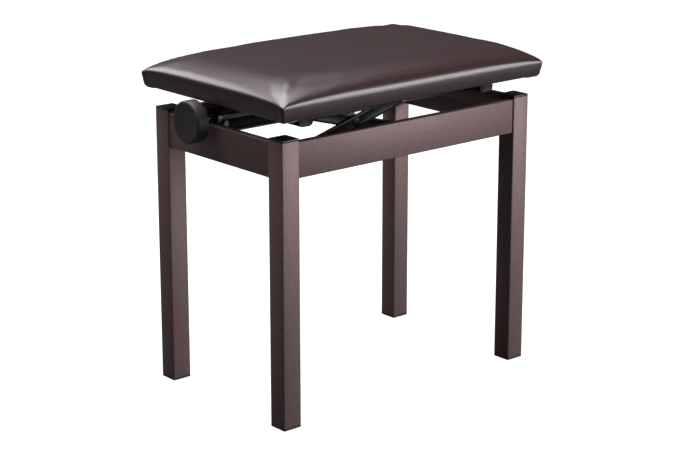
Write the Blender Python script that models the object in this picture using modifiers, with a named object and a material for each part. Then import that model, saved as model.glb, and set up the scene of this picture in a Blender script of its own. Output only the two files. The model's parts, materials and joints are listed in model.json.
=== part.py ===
"""Height-adjustable piano bench with a steel leg frame, a screw-driven scissor lift and a padded seat.

Metres, +Z up, standing on Z = 0. The player sits facing -Y, and the height knob is at the -X end.
The bench is modelled with the seat wound down to its lowest height.
"""

import math

import bmesh
import bpy
from mathutils import Vector

# ---------------------------------------------------------------- driving dimensions
GAP = 0.0003  # clearance kept between pieces that touch
SMALL_BREAK = 0.0005  # broken edge on turned metal

# Leg frame
FRAME_LENGTH = 0.460  # over the outer faces of the legs, along X
FRAME_DEPTH = 0.286  # over the outer faces of the legs, along Y
FRAME_HEIGHT = 0.405  # floor to the top of the leg caps
LEG_WIDTH = 0.030
LEG_CORNER = 0.002
TUBE_WALL = 0.0015
CAP_THICKNESS = 0.0025
FOOT_THICKNESS = 0.003
PLUG_LENGTH = 0.014
RAIL_HEIGHT = 0.050
RAIL_THICKNESS = 0.012
RAIL_CORNER = 0.0018
RAIL_TOP = 0.400
RAIL_SETBACK = 0.002  # rail face behind the leg face

# Scissor lift
ARM_SPAN = 0.175  # pivot to pivot along one arm
ARM_WIDTH = 0.018
ARM_THICKNESS = 0.004
OUTER_ARM_Y = 0.094
INNER_ARM_Y = 0.089
PIVOT_X = -0.145  # the fixed pivots, one above the other
LOWER_PIVOT_Z = 0.375
UPPER_PIVOT_Z = 0.4215  # with the seat down
SEAT_TRAVEL = 0.090
SHAFT_RADIUS = 0.005
SHAFT_HEAD_RADIUS = 0.0072
SHAFT_HEAD = 0.002
CLIP_RADIUS = 0.0085
CLIP_THICKNESS = 0.0012
ROLLER_RADIUS = 0.006
RIVET_RADIUS = 0.004
RIVET_HEAD_RADIUS = 0.0065
RIVET_HEAD = 0.0011

# Folded sheet steel that carries the pivots
SHEET = 0.002
FOLD_RADIUS = 0.002
WEB_Y = 0.098  # centre of the slotted webs
FLANGE_WIDTH = 0.015
SLOT_CLEARANCE = 0.0004
SLOT_SPARE = 0.0015  # what a slot has past each end of the travel
BASE_CHANNEL_HEIGHT = 0.027
TAB_THICKNESS = 0.0025
SEAT_FRAME_TOP = 0.4336
SEAT_RAIL_DEPTH = 0.0205
CROSS_OUTER_X = 0.181
CROSS_WIDTH = 0.025
CROSS_DEPTH = 0.022
CROSS_CORNER = 0.006
CROSS_HALF_LENGTH = 0.118
CROSS_FLANGE = 0.012

# Fasteners
BOLT_RADIUS = 0.003
BOLT_FLANGE_RADIUS = 0.0062
BOLT_FLANGE = 0.0012
BOLT_HEAD = 0.0045
BOLT_HEAD_WIDTH = 0.009
SEAT_SCREW_RADIUS = 0.0025
SEAT_SCREW_HEAD_RADIUS = 0.0048
SEAT_SCREW_HEAD = 0.0028
SEAT_SCREW_LENGTH = 0.010
SEAT_SCREW_X = CROSS_OUTER_X + CROSS_FLANGE / 2
SEAT_SCREW_Y = 0.095

# Screw drive
SCREW_Y = 0.029
SCREW_Z = 0.405
THREAD_RADIUS = 0.005
JOURNAL_RADIUS = 0.004
SCREW_PAST_NUT = 0.014
BEARING_PLATE = 0.003
BEARING_LUG = 0.013
BEARING_BOTTOM = 0.362
BEARING_CORNER = 0.004
BUSH_RADIUS = 0.006
BUSH_FLANGE_RADIUS = 0.009
BUSH_FLANGE = 0.0015
BUSH_INSIDE_PLATE = 0.0005
COLLAR_RADIUS = 0.008
COLLAR_LENGTH = 0.007
NUT_LENGTH = 0.024
NUT_WIDTH = 0.022
NUT_BELOW_SHAFT = 0.0105
NUT_ABOVE_SCREW = 0.0085
NUT_BEVEL = 0.0012
KNOB_RADIUS = 0.030
KNOB_THICKNESS = 0.0185
KNOB_BACK_X = -0.2415
KNOB_WALL = 0.003
KNOB_CORNER = 0.003
KNOB_RECESS = 0.011
KNOB_HUB_RADIUS = 0.011
KNOB_HUB_BACK = 0.0015  # how far the hub stands out behind the rim
KNOB_BORE_DEPTH = 0.015
GRUB_RADIUS = 0.002
GRUB_LENGTH = 0.006
GRUB_BEHIND_RIM = 0.004

# Seat
BOARD_LENGTH = 0.470
BOARD_DEPTH = 0.306
BOARD_THICKNESS = 0.012
BOARD_BOTTOM = 0.4346
CLOTH_THICKNESS = 0.0004
CLOTH_INSET = 0.006
CUSHION_LENGTH = 0.483
CUSHION_DEPTH = 0.320
CUSHION_BOTTOM = 0.4340
CUSHION_TOP = 0.480
CUSHION_CORNER = 0.010
CUSHION_RIM = 0.020

# ---------------------------------------------------------------- values that follow from them
RAIL_Z = RAIL_TOP - RAIL_HEIGHT / 2
RAIL_INNER_X = FRAME_LENGTH / 2 - RAIL_SETBACK - RAIL_THICKNESS
LEG_X = (FRAME_LENGTH - LEG_WIDTH) / 2
LEG_Y = (FRAME_DEPTH - LEG_WIDTH) / 2
REST_ANGLE = math.asin((UPPER_PIVOT_Z - LOWER_PIVOT_Z) / ARM_SPAN)
TOP_ANGLE = math.asin((UPPER_PIVOT_Z - LOWER_PIVOT_Z + SEAT_TRAVEL) / ARM_SPAN)
SLIDE_X = PIVOT_X + ARM_SPAN * math.cos(REST_ANGLE)  # sliding pivots with the seat down
SLIDE_END_X = PIVOT_X + ARM_SPAN * math.cos(TOP_ANGLE)  # and with the seat up
BEARING_PLATE_X = -RAIL_INNER_X + GAP + BEARING_PLATE / 2
FLANGE_TIP_Y = WEB_Y - SHEET / 2 + FLANGE_WIDTH
BOLT_Y = WEB_Y + 0.0077
BASE_HALF_LENGTH = RAIL_INNER_X - GAP
COLLAR_NEAR_X = BEARING_PLATE_X + BEARING_PLATE / 2 + GAP + BUSH_FLANGE + GAP
NUT_BOTTOM = LOWER_PIVOT_Z - NUT_BELOW_SHAFT
NUT_TOP = SCREW_Z + NUT_ABOVE_SCREW
KNOB_FACE_X = KNOB_BACK_X - KNOB_THICKNESS
# The knob stands out at one end only, so the frame is moved to centre the whole bench on X = 0.
CENTRE_X = -(KNOB_FACE_X + CUSHION_LENGTH / 2) / 2

UPRIGHT = (0, 0, 0)
ALONG_X = (math.pi / 2, 0, math.pi / 2)  # local X, Y, Z become Y, Z, X
ALONG_MINUS_X = (math.pi / 2, 0, -math.pi / 2)  # local Z becomes -X
ALONG_Y = (math.pi / 2, 0, 0)  # local X, Y, Z become X, Z, -Y
ALONG_PLUS_Y = (-math.pi / 2, 0, 0)  # local Z becomes +Y
SIDES = {"front": -1, "back": 1}
ENDS = {"left": -1, "right": 1}
CORNERS = [(f"{side}_{end}", ENDS[end], SIDES[side]) for side in SIDES for end in ENDS]


# ---------------------------------------------------------------- scene, materials, placing
def clear_scene():
    for old in list(bpy.data.objects):
        bpy.data.objects.remove(old, do_unlink=True)


def collection(name, helpers=False):
    made = bpy.data.collections.new(name)
    bpy.context.scene.collection.children.link(made)
    made.hide_render = helpers
    return made


def material(name, colour, roughness, metallic=0.0):
    made = bpy.data.materials.new(name)
    made.use_nodes = True
    shader = made.node_tree.nodes["Principled BSDF"]
    shader.inputs["Base Color"].default_value = (*colour, 1)
    shader.inputs["Roughness"].default_value = roughness
    shader.inputs["Metallic"].default_value = metallic
    return made


def pivot(name, at, parent=None, turn_y=0.0):
    """An empty on a joint's axis, which carries the pieces that turn about it."""
    empty = bpy.data.objects.new(name, None)
    PARTS.objects.link(empty)
    empty.parent = parent
    empty.location = at
    empty.rotation_euler = (0, turn_y, 0)
    return empty


def stand(piece, group, at, turn, parent):
    group.objects.link(piece)
    piece.parent = parent or FRAME
    piece.location = at
    piece.rotation_euler = turn
    return piece


def place(name, mesh, finish, at, turn=UPRIGHT, parent=None):
    """A piece of the bench. Copies of one piece share their mesh."""
    if not mesh.materials:
        mesh.materials.append(finish)
    return stand(bpy.data.objects.new(name, mesh), PARTS, at, turn, parent)


def helper(name, mesh, at, turn=UPRIGHT, parent=None):
    """A shape that only cuts or joins another one."""
    piece = stand(bpy.data.objects.new(name, mesh), HELPERS, at, turn, parent)
    piece.hide_render = True
    piece.display_type = "WIRE"
    return piece


def combine(piece, other, operation="DIFFERENCE"):
    modifier = piece.modifiers.new(other.name, "BOOLEAN")
    modifier.solver = "EXACT"
    modifier.operation = operation
    modifier.object = other


# ---------------------------------------------------------------- outlines
def arc(radius, start, end, steps, centre=(0, 0)):
    """Points on a circle from one angle to another, both in quarter turns."""
    turns = [math.pi / 2 * (start + (end - start) * step / steps) for step in range(steps + 1)]
    return [(centre[0] + radius * math.cos(a), centre[1] + radius * math.sin(a)) for a in turns]


def circle(radius, centre=(0, 0), steps=24):
    return arc(radius, 0, 4, steps, centre)[:-1]


def capsule(start_x, end_x, radius, steps=10):
    """A slot or a round-ended bar along X, whose end centres are at start_x and end_x."""
    return arc(radius, -1, 1, steps, (end_x, 0)) + arc(radius, 1, 3, steps, (start_x, 0))


def rounded_rectangle(width, height, radius, steps=3):
    points = []
    for quarter, (side_x, side_y) in enumerate([(1, 1), (-1, 1), (-1, -1), (1, -1)]):
        centre = (side_x * (width / 2 - radius), side_y * (height / 2 - radius))
        points += arc(radius, quarter, quarter + 1, steps, centre)
    return points


def bend(before, corner, after, radius, steps=4):
    """Points of the arc that rounds one corner of a path."""
    a = (before - corner).normalized()
    b = (after - corner).normalized()
    half = a.angle(b) / 2
    centre = corner + (a + b).normalized() * radius / math.sin(half)
    start = (corner + a * radius / math.tan(half) - centre).normalized()
    end = (corner + b * radius / math.tan(half) - centre).normalized()
    return [centre + radius * start.slerp(end, step / steps) for step in range(steps + 1)]


def folded(corners, radii):
    """Outline of a sheet folded along a path, which runs down the middle of its thickness."""
    corners = [Vector((x, y, 0)) for x, y in corners]
    path = [corners[0]]
    for before, corner, after, radius in zip(corners, corners[1:], corners[2:], radii):
        path += bend(before, corner, after, radius)
    path.append(corners[-1])
    left, right = [], []
    for index, point in enumerate(path):
        along = path[min(index + 1, len(path) - 1)] - path[max(index - 1, 0)]
        across = Vector((-along.y, along.x, 0)).normalized() * SHEET / 2
        left.append((point + across).to_2d())
        right.append((point - across).to_2d())
    return [tuple(point) for point in left + right[::-1]]


# ---------------------------------------------------------------- solids
def finished(name, work):
    """The named mesh of a closed bmesh, welded and with its faces pointing out."""
    bmesh.ops.remove_doubles(work, verts=work.verts, dist=1e-6)
    bmesh.ops.recalc_face_normals(work, faces=work.faces)
    mesh = bpy.data.meshes.new(name)
    work.to_mesh(mesh)
    work.free()
    return mesh


def prism(name, loops, depth):
    """A flat outline, the first loop, with holes, the others, given a depth along local Z."""
    curve = bpy.data.curves.new(name, "CURVE")
    curve.dimensions = "2D"
    curve.fill_mode = "BOTH"
    curve.extrude = depth / 2
    for loop in loops:
        spline = curve.splines.new("POLY")
        spline.points.add(len(loop) - 1)
        for point, (x, y) in zip(spline.points, loop):
            point.co = (x, y, 0, 1)
        spline.use_cyclic_u = True
    flat = bpy.data.objects.new(name, curve)
    bpy.context.scene.collection.objects.link(flat)
    evaluated = flat.evaluated_get(bpy.context.evaluated_depsgraph_get())
    raw = bpy.data.meshes.new_from_object(evaluated)
    work = bmesh.new()
    work.from_mesh(raw)
    bpy.data.objects.remove(flat, do_unlink=True)
    bpy.data.meshes.remove(raw)
    return finished(name, work)


def block(name, size, bevel=0.0, segments=2):
    work = bmesh.new()
    bmesh.ops.create_cube(work, size=1)
    bmesh.ops.scale(work, vec=size, verts=work.verts)
    if bevel:
        bmesh.ops.bevel(work, geom=work.edges, offset=bevel, segments=segments, profile=0.5, affect="EDGES")
    return finished(name, work)


def rod(name, radius, length, segments=24):
    work = bmesh.new()
    bmesh.ops.create_cone(
        work, cap_ends=True, segments=segments, radius1=radius, radius2=radius, depth=length
    )
    return finished(name, work)


def turned(name, profile, finish, at, turn, parent=None, steps=28):
    """A piece turned on local Z from a loop of (radius, height) points, down its outer side."""
    mesh = bpy.data.meshes.new(name)
    pairs = [(index, (index + 1) % len(profile)) for index in range(len(profile))]
    off_axis = [pair for pair in pairs if profile[pair[0]][0] > 0 or profile[pair[1]][0] > 0]
    mesh.from_pydata([(radius, 0, height) for radius, height in profile], off_axis, [])
    piece = place(name, mesh, finish, at, turn, parent)
    screw = piece.modifiers.new("Turn", "SCREW")
    screw.steps = steps
    screw.render_steps = steps
    screw.use_merge_vertices = True
    screw.merge_threshold = 1e-5
    screw.use_smooth_shade = True
    return piece


def smooth_rounds(piece, angle=math.radians(35)):
    piece.data.shade_smooth()
    piece.data.set_sharp_from_angle(angle=angle)
    return piece


# ---------------------------------------------------------------- leg frame
def make_plug(name, finish, corner_at, thickness, middle_z, stem_z):
    """A plastic insert for a leg's end: a plate as wide as the leg, on a stem inside the tube."""
    plate = prism(name, [rounded_rectangle(LEG_WIDTH, LEG_WIDTH, LEG_CORNER)], thickness)
    inside = LEG_WIDTH - 2 * TUBE_WALL - 2 * GAP
    stem = prism(name + "_stem", [rounded_rectangle(inside, inside, RAIL_CORNER, 2)], PLUG_LENGTH)
    piece = place(name, plate, finish, (*corner_at, middle_z))
    combine(piece, helper(name + "_stem", stem, (*corner_at, stem_z)), "UNION")


def make_legs(steel, plastic):
    bore = LEG_WIDTH - 2 * TUBE_WALL
    bottom = FOOT_THICKNESS + GAP
    top = FRAME_HEIGHT - CAP_THICKNESS - GAP
    section = [rounded_rectangle(LEG_WIDTH, LEG_WIDTH, LEG_CORNER)]
    section.append(rounded_rectangle(bore, bore, LEG_CORNER / 2, 1))
    tube = prism("leg", section, top - bottom)
    cap_z = FRAME_HEIGHT - CAP_THICKNESS / 2
    foot_z = FOOT_THICKNESS / 2
    for corner, end, side in CORNERS:
        at = (end * LEG_X, side * LEG_Y)
        smooth_rounds(place(f"leg_{corner}", tube, steel, (*at, (top + bottom) / 2)))
        make_plug(f"leg_cap_{corner}", plastic, at, CAP_THICKNESS, cap_z, cap_z - PLUG_LENGTH / 2)
        make_plug(f"foot_{corner}", plastic, at, FOOT_THICKNESS, foot_z, foot_z + PLUG_LENGTH / 2)


def rail_tube(name, length):
    bore = (RAIL_THICKNESS - 2 * TUBE_WALL, RAIL_HEIGHT - 2 * TUBE_WALL)
    section = [rounded_rectangle(RAIL_THICKNESS, RAIL_HEIGHT, RAIL_CORNER)]
    section.append(rounded_rectangle(*bore, RAIL_CORNER / 2, 1))
    return prism(name, section, length)


def make_rails(steel):
    long_rail = rail_tube("long_rail", FRAME_LENGTH - 2 * LEG_WIDTH - 2 * GAP)
    middle_y = FRAME_DEPTH / 2 - RAIL_SETBACK - RAIL_THICKNESS / 2
    for side, sign in SIDES.items():
        smooth_rounds(place(f"{side}_rail", long_rail, steel, (0, sign * middle_y, RAIL_Z), ALONG_X))
    short_rail = rail_tube("short_rail", FRAME_DEPTH - 2 * LEG_WIDTH - 2 * GAP)
    middle_x = RAIL_INNER_X + RAIL_THICKNESS / 2
    # The hole goes through the rail's inner wall only.
    hole = rod("rail_bolt_hole", BOLT_RADIUS + GAP, 4 * TUBE_WALL, 16)
    for end, sign in ENDS.items():
        rail = place(f"{end}_rail", short_rail, steel, (sign * middle_x, 0, RAIL_Z), ALONG_Y)
        smooth_rounds(rail)
        for side, side_sign in SIDES.items():
            at = (sign * RAIL_INNER_X, side_sign * BOLT_Y, LOWER_PIVOT_Z)
            combine(rail, helper(f"{end}_rail_hole_{side}", hole, at, ALONG_X))


# ---------------------------------------------------------------- lift base
def cut_pivot_and_slot(piece, name, web_y, height, parent=None):
    """The round hole of the fixed pivot, and the slot that the other shaft's roller runs in."""
    through = 6 * SHEET
    hole = rod("pivot_hole", SHAFT_RADIUS + GAP, through)
    combine(piece, helper(name + "_hole", hole, (PIVOT_X, web_y, height), ALONG_Y, parent))
    outline = capsule(SLIDE_END_X - SLOT_SPARE, SLIDE_X + SLOT_SPARE, ROLLER_RADIUS + SLOT_CLEARANCE)
    slot = prism("slot", [outline], through)
    combine(piece, helper(name + "_slot", slot, (0, web_y, height), ALONG_Y, parent))


def make_base_channel(side, sign, steel):
    """A channel between the end rails, whose web carries the lower pivots."""
    web = sign * WEB_Y
    tip = sign * FLANGE_TIP_Y
    reach = (BASE_CHANNEL_HEIGHT - SHEET) / 2
    path = [(tip, -reach), (web, -reach), (web, reach), (tip, reach)]
    outline = folded(path, (FOLD_RADIUS, FOLD_RADIUS))
    mesh = prism(f"base_channel_{side}", [outline], 2 * BASE_HALF_LENGTH)
    channel = place(f"base_channel_{side}", mesh, steel, (0, 0, LOWER_PIVOT_Z), ALONG_X)
    # A tab closes each end. It stops a little short of the sheet's outer faces.
    inset = 0.0003
    tab = block("base_tab", (TAB_THICKNESS, FLANGE_WIDTH, BASE_CHANNEL_HEIGHT - 2 * inset))
    tab_y = sign * (FLANGE_TIP_Y - FLANGE_WIDTH / 2 + inset)
    hole = rod("tab_hole", BOLT_RADIUS + GAP, 5 * TAB_THICKNESS, 16)
    for end, direction in ENDS.items():
        x = direction * (BASE_HALF_LENGTH - TAB_THICKNESS / 2)
        combine(channel, helper(f"base_tab_{side}_{end}", tab, (x, tab_y, LOWER_PIVOT_Z)), "UNION")
        bolt_at = (x, sign * BOLT_Y, LOWER_PIVOT_Z)
        combine(channel, helper(f"tab_hole_{side}_{end}", hole, bolt_at, ALONG_X))
    cut_pivot_and_slot(channel, f"base_{side}", web, LOWER_PIVOT_Z)


def flange_bolt(name, finish, at, turn, shank):
    """A hexagon bolt with a round flange. It points along local +Z from the flange's underside."""
    tip = BOLT_RADIUS - SMALL_BREAK
    profile = [(0, shank), (tip, shank), (BOLT_RADIUS, shank - SMALL_BREAK), (BOLT_RADIUS, 0)]
    profile += [(BOLT_FLANGE_RADIUS, 0), (BOLT_FLANGE_RADIUS, -BOLT_FLANGE), (0, -BOLT_FLANGE)]
    piece = turned(name, profile, finish, at, turn, steps=18)
    hexagon = prism("bolt_hexagon", [circle(BOLT_HEAD_WIDTH / math.sqrt(3), steps=6)], BOLT_HEAD)
    # The hexagon reaches halfway into the flange, so that the two join as one solid.
    middle = (0, 0, -(BOLT_FLANGE + BOLT_HEAD) / 2)
    combine(piece, helper(name + "_hexagon", hexagon, middle, UPRIGHT, piece), "UNION")


def make_bolts(finish):
    """The bolts that hold each channel's end tabs to the end rails, from inside the bench."""
    past_rail_wall = 0.004
    shank = TAB_THICKNESS + TUBE_WALL + past_rail_wall
    for corner, end, side in CORNERS:
        at = (end * (BASE_HALF_LENGTH - TAB_THICKNESS - GAP), side * BOLT_Y, LOWER_PIVOT_Z)
        flange_bolt(f"base_bolt_{corner}", finish, at, ALONG_X if end > 0 else ALONG_MINUS_X, shank)


def make_bearing_plate(steel):
    """A plate on the inside of the left rail, with a lug that holds the screw's bush."""
    reach = BEARING_LUG
    lower = BEARING_BOTTOM + BEARING_CORNER
    outline = arc(reach, 0, 2, 12, (SCREW_Y, SCREW_Z))
    outline += arc(BEARING_CORNER, 2, 3, 3, (SCREW_Y - reach + BEARING_CORNER, lower))
    outline += arc(BEARING_CORNER, 3, 4, 3, (SCREW_Y + reach - BEARING_CORNER, lower))
    hole = circle(BUSH_RADIUS + GAP, (SCREW_Y, SCREW_Z))
    mesh = prism("bearing_plate", [outline, hole], BEARING_PLATE)
    smooth_rounds(place("bearing_plate", mesh, steel, (BEARING_PLATE_X, 0, 0), ALONG_X))


def make_bush(plastic):
    """A flanged bush, put into the bearing plate from inside. The screw's journal turns in it."""
    bore = JOURNAL_RADIUS + GAP
    end = BEARING_PLATE / 2 - BUSH_INSIDE_PLATE
    face = BEARING_PLATE / 2 + GAP
    profile = [(bore, end), (BUSH_RADIUS, end), (BUSH_RADIUS, -face)]
    profile += [(BUSH_FLANGE_RADIUS, -face), (BUSH_FLANGE_RADIUS, -face - BUSH_FLANGE)]
    profile.append((bore, -face - BUSH_FLANGE))
    turned("screw_bush", profile, plastic, (BEARING_PLATE_X, SCREW_Y, SCREW_Z), ALONG_MINUS_X)


# ---------------------------------------------------------------- scissor arms and shafts
def arm(name, first, middle, last):
    """A flat bar with round ends and three holes, at places along local X."""
    loops = [capsule(first, last, ARM_WIDTH / 2)]
    loops += [circle(SHAFT_RADIUS + GAP, (first, 0)), circle(RIVET_RADIUS + GAP, (middle, 0))]
    loops.append(circle(SHAFT_RADIUS + GAP, (last, 0)))
    return prism(name, loops, ARM_THICKNESS)


def make_arms(steel):
    """Two crossed pairs. The outer arms rise towards +X and the inner arms fall towards +X."""
    half = ARM_SPAN / 2
    outer = arm("outer_arm", 0, half, ARM_SPAN)
    inner = arm("inner_arm", -half, 0, half)
    for side, sign in SIDES.items():
        outer_at = (0, sign * OUTER_ARM_Y, 0)
        smooth_rounds(place(f"outer_arm_{side}", outer, steel, outer_at, ALONG_Y, LIFT_PIVOT))
        inner_at = (0, sign * INNER_ARM_Y, 0)
        smooth_rounds(place(f"inner_arm_{side}", inner, steel, inner_at, ALONG_Y, CROSS_PIVOT))
        make_rivet(side, sign, steel)


def make_rivet(side, sign, black):
    """The headed pin on which an outer and an inner arm cross. It is turned on the bench's Y."""
    inside = INNER_ARM_Y - ARM_THICKNESS / 2 - GAP
    outside = OUTER_ARM_Y + ARM_THICKNESS / 2 + GAP
    wide = RIVET_HEAD_RADIUS
    crown = wide - RIVET_HEAD
    profile = [(0, outside + RIVET_HEAD), (crown, outside + RIVET_HEAD), (wide, outside + RIVET_HEAD / 2)]
    profile += [(wide, outside), (RIVET_RADIUS, outside), (RIVET_RADIUS, inside), (wide, inside)]
    profile += [(wide, inside - RIVET_HEAD), (crown, inside - 2 * RIVET_HEAD), (0, inside - 2 * RIVET_HEAD)]
    turn = ALONG_Y if sign < 0 else ALONG_PLUS_Y
    turned(f"cross_rivet_{side}", profile, black, (0, 0, 0), turn, CROSS_PIVOT)


def make_shaft(name, finish, clip_finish, at, parent):
    """A rod from web to web, with a formed head at the front and a push-on clip at the back."""
    outside = WEB_Y + SHEET / 2 + GAP
    top = outside + SHAFT_HEAD
    end = outside + 2 * CLIP_THICKNESS
    crown = SHAFT_HEAD_RADIUS - CLIP_THICKNESS
    profile = [(0, top), (crown, top), (SHAFT_HEAD_RADIUS, outside + SHAFT_HEAD / 2)]
    profile += [(SHAFT_HEAD_RADIUS, outside), (SHAFT_RADIUS, outside), (SHAFT_RADIUS, SMALL_BREAK - end)]
    profile += [(SHAFT_RADIUS - SMALL_BREAK, -end), (0, -end)]
    turned(name, profile, finish, at, ALONG_Y, parent)
    bore = SHAFT_RADIUS + GAP
    far = -outside - CLIP_THICKNESS
    ring = [(bore, -outside), (CLIP_RADIUS, -outside), (CLIP_RADIUS, far), (bore, far)]
    turned(name + "_clip", ring, clip_finish, at, ALONG_Y, parent)


def make_pin(side, sign, finish, clip_finish):
    """A short pin that holds an outer arm to its base channel: head outside, push-on clip inside."""
    outside = WEB_Y + SHEET / 2 + GAP
    inside = OUTER_ARM_Y - ARM_THICKNESS / 2 - GAP
    top = outside + SHAFT_HEAD
    end = inside - 2 * CLIP_THICKNESS
    crown = SHAFT_HEAD_RADIUS - CLIP_THICKNESS
    profile = [(0, top), (crown, top), (SHAFT_HEAD_RADIUS, outside + SHAFT_HEAD / 2)]
    profile += [(SHAFT_HEAD_RADIUS, outside), (SHAFT_RADIUS, outside), (SHAFT_RADIUS, end + SMALL_BREAK)]
    profile += [(SHAFT_RADIUS - SMALL_BREAK, end), (0, end)]
    at = (PIVOT_X, 0, LOWER_PIVOT_Z)
    turn = ALONG_Y if sign < 0 else ALONG_PLUS_Y
    turned(f"lower_pin_{side}", profile, finish, at, turn)
    bore = SHAFT_RADIUS + GAP
    far = inside - CLIP_THICKNESS
    ring = [(bore, inside), (CLIP_RADIUS, inside), (CLIP_RADIUS, far), (bore, far)]
    turned(f"lower_pin_{side}_clip", ring, clip_finish, at, turn)


def make_rollers(name, finish, along, parent):
    """The sleeves that carry a sliding shaft in its two slots."""
    half = SHEET / 2
    bore = SHAFT_RADIUS + GAP
    profile = [(bore, half), (ROLLER_RADIUS, half), (ROLLER_RADIUS, -half), (bore, -half)]
    for side, sign in SIDES.items():
        turned(f"{name}_{side}", profile, finish, (along, sign * WEB_Y, 0), ALONG_Y, parent)


def make_shafts(bright, black, plastic):
    half = ARM_SPAN / 2
    for side, sign in SIDES.items():
        make_pin(side, sign, bright, black)
    make_shaft("upper_fixed_shaft", bright, black, (0, 0, 0), SEAT_PIVOT)
    make_shaft("lower_slide_shaft", bright, black, (half, 0, 0), CROSS_PIVOT)
    make_shaft("upper_slide_shaft", bright, black, (ARM_SPAN, 0, 0), LIFT_PIVOT)
    make_rollers("lower_roller", plastic, half, CROSS_PIVOT)
    make_rollers("upper_roller", plastic, ARM_SPAN, LIFT_PIVOT)


# ---------------------------------------------------------------- screw, nut and knob
def make_nut(bright):
    """The block on the lower sliding shaft that the screw is threaded through."""
    mesh = block("nut_block", (NUT_LENGTH, NUT_WIDTH, NUT_TOP - NUT_BOTTOM), NUT_BEVEL)
    middle = (NUT_TOP + NUT_BOTTOM) / 2 - LOWER_PIVOT_Z
    nut = place("nut_block", mesh, bright, (0, SCREW_Y, middle), UPRIGHT, NUT_PIVOT)
    shaft_hole = rod("nut_shaft_hole", SHAFT_RADIUS + GAP, 2 * NUT_WIDTH)
    combine(nut, helper("nut_shaft_hole", shaft_hole, (0, SCREW_Y, 0), ALONG_Y, NUT_PIVOT))
    screw_hole = rod("nut_screw_hole", THREAD_RADIUS + GAP, 2 * NUT_LENGTH)
    screw_at = (0, SCREW_Y, SCREW_Z - LOWER_PIVOT_Z)
    combine(nut, helper("nut_screw_hole", screw_hole, screw_at, ALONG_X, NUT_PIVOT))


def make_screw(bright):
    """A threaded rod with a thinner journal, which runs through collar and bush to the knob."""
    tip = KNOB_BACK_X + KNOB_HUB_BACK - KNOB_BORE_DEPTH + GAP
    step = COLLAR_NEAR_X + COLLAR_LENGTH + GAP
    end = SLIDE_X + SCREW_PAST_NUT
    profile = [(0, end), (THREAD_RADIUS - 2 * SMALL_BREAK, end), (THREAD_RADIUS, end - 2 * SMALL_BREAK)]
    profile += [(THREAD_RADIUS, step), (JOURNAL_RADIUS, step), (JOURNAL_RADIUS, tip), (0, tip)]
    turned("lead_screw", profile, bright, (0, 0, 0), ALONG_X, SCREW_AXIS, 24)


def make_collar(bright):
    """The ring on the journal that takes the screw's push against the bush."""
    bore = JOURNAL_RADIUS + GAP
    far = COLLAR_NEAR_X + COLLAR_LENGTH
    waist = COLLAR_RADIUS - SMALL_BREAK
    profile = [(bore, far), (waist, far), (COLLAR_RADIUS, far - SMALL_BREAK)]
    profile += [(COLLAR_RADIUS, COLLAR_NEAR_X + SMALL_BREAK), (waist, COLLAR_NEAR_X), (bore, COLLAR_NEAR_X)]
    turned("thrust_collar", profile, bright, (0, 0, 0), ALONG_X, SCREW_AXIS)


def make_knob(plastic, bright):
    """A round knob whose hollow back has a hub that a grub screw clamps on the journal."""
    front = -KNOB_THICKNESS
    bore = JOURNAL_RADIUS + GAP
    bore_end = KNOB_HUB_BACK - KNOB_BORE_DEPTH
    inner = KNOB_RADIUS - KNOB_WALL
    edge = 2 * SMALL_BREAK
    profile = [(bore, KNOB_HUB_BACK), (KNOB_HUB_RADIUS, KNOB_HUB_BACK), (KNOB_HUB_RADIUS, -KNOB_RECESS)]
    profile += [(inner, -KNOB_RECESS), (inner, 0), (KNOB_RADIUS - edge, 0), (KNOB_RADIUS, -edge)]
    profile += arc(KNOB_CORNER, 0, -1, 4, (KNOB_RADIUS - KNOB_CORNER, front + KNOB_CORNER))
    profile += [(0, front), (0, bore_end), (bore, bore_end)]
    knob = turned("knob", profile, plastic, (KNOB_BACK_X, 0, 0), ALONG_X, SCREW_AXIS, 48)
    grub_x = KNOB_BACK_X - GRUB_BEHIND_RIM
    hole = rod("grub_hole", GRUB_RADIUS + GAP, KNOB_HUB_RADIUS, 12)
    hole_at = (grub_x, 0, JOURNAL_RADIUS + KNOB_HUB_RADIUS / 2)
    combine(knob, helper("grub_hole", hole, hole_at, UPRIGHT, SCREW_AXIS))
    half = GRUB_LENGTH / 2
    grub = [(0, half), (GRUB_RADIUS - SMALL_BREAK, half), (GRUB_RADIUS, half - SMALL_BREAK)]
    grub += [(GRUB_RADIUS, -half), (0, -half)]
    grub_at = (grub_x, 0, JOURNAL_RADIUS + GAP + half)
    turned("knob_grub_screw", grub, bright, grub_at, UPRIGHT, SCREW_AXIS, 12)


# ---------------------------------------------------------------- seat
def make_seat_rail(side, sign, steel):
    """An angle under the board, whose web carries the upper pivots."""
    web = sign * WEB_Y
    top = SEAT_FRAME_TOP - SHEET / 2
    path = [(web, SEAT_FRAME_TOP - SEAT_RAIL_DEPTH), (web, top), (sign * FLANGE_TIP_Y, top)]
    length = 2 * (CROSS_OUTER_X - CROSS_WIDTH - GAP)
    mesh = prism(f"seat_rail_{side}", [folded(path, (FOLD_RADIUS,))], length)
    rail = place(f"seat_rail_{side}", mesh, steel, (0, 0, 0), ALONG_X, SEAT)
    cut_pivot_and_slot(rail, f"seat_{side}", web, UPPER_PIVOT_Z, SEAT)


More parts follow.
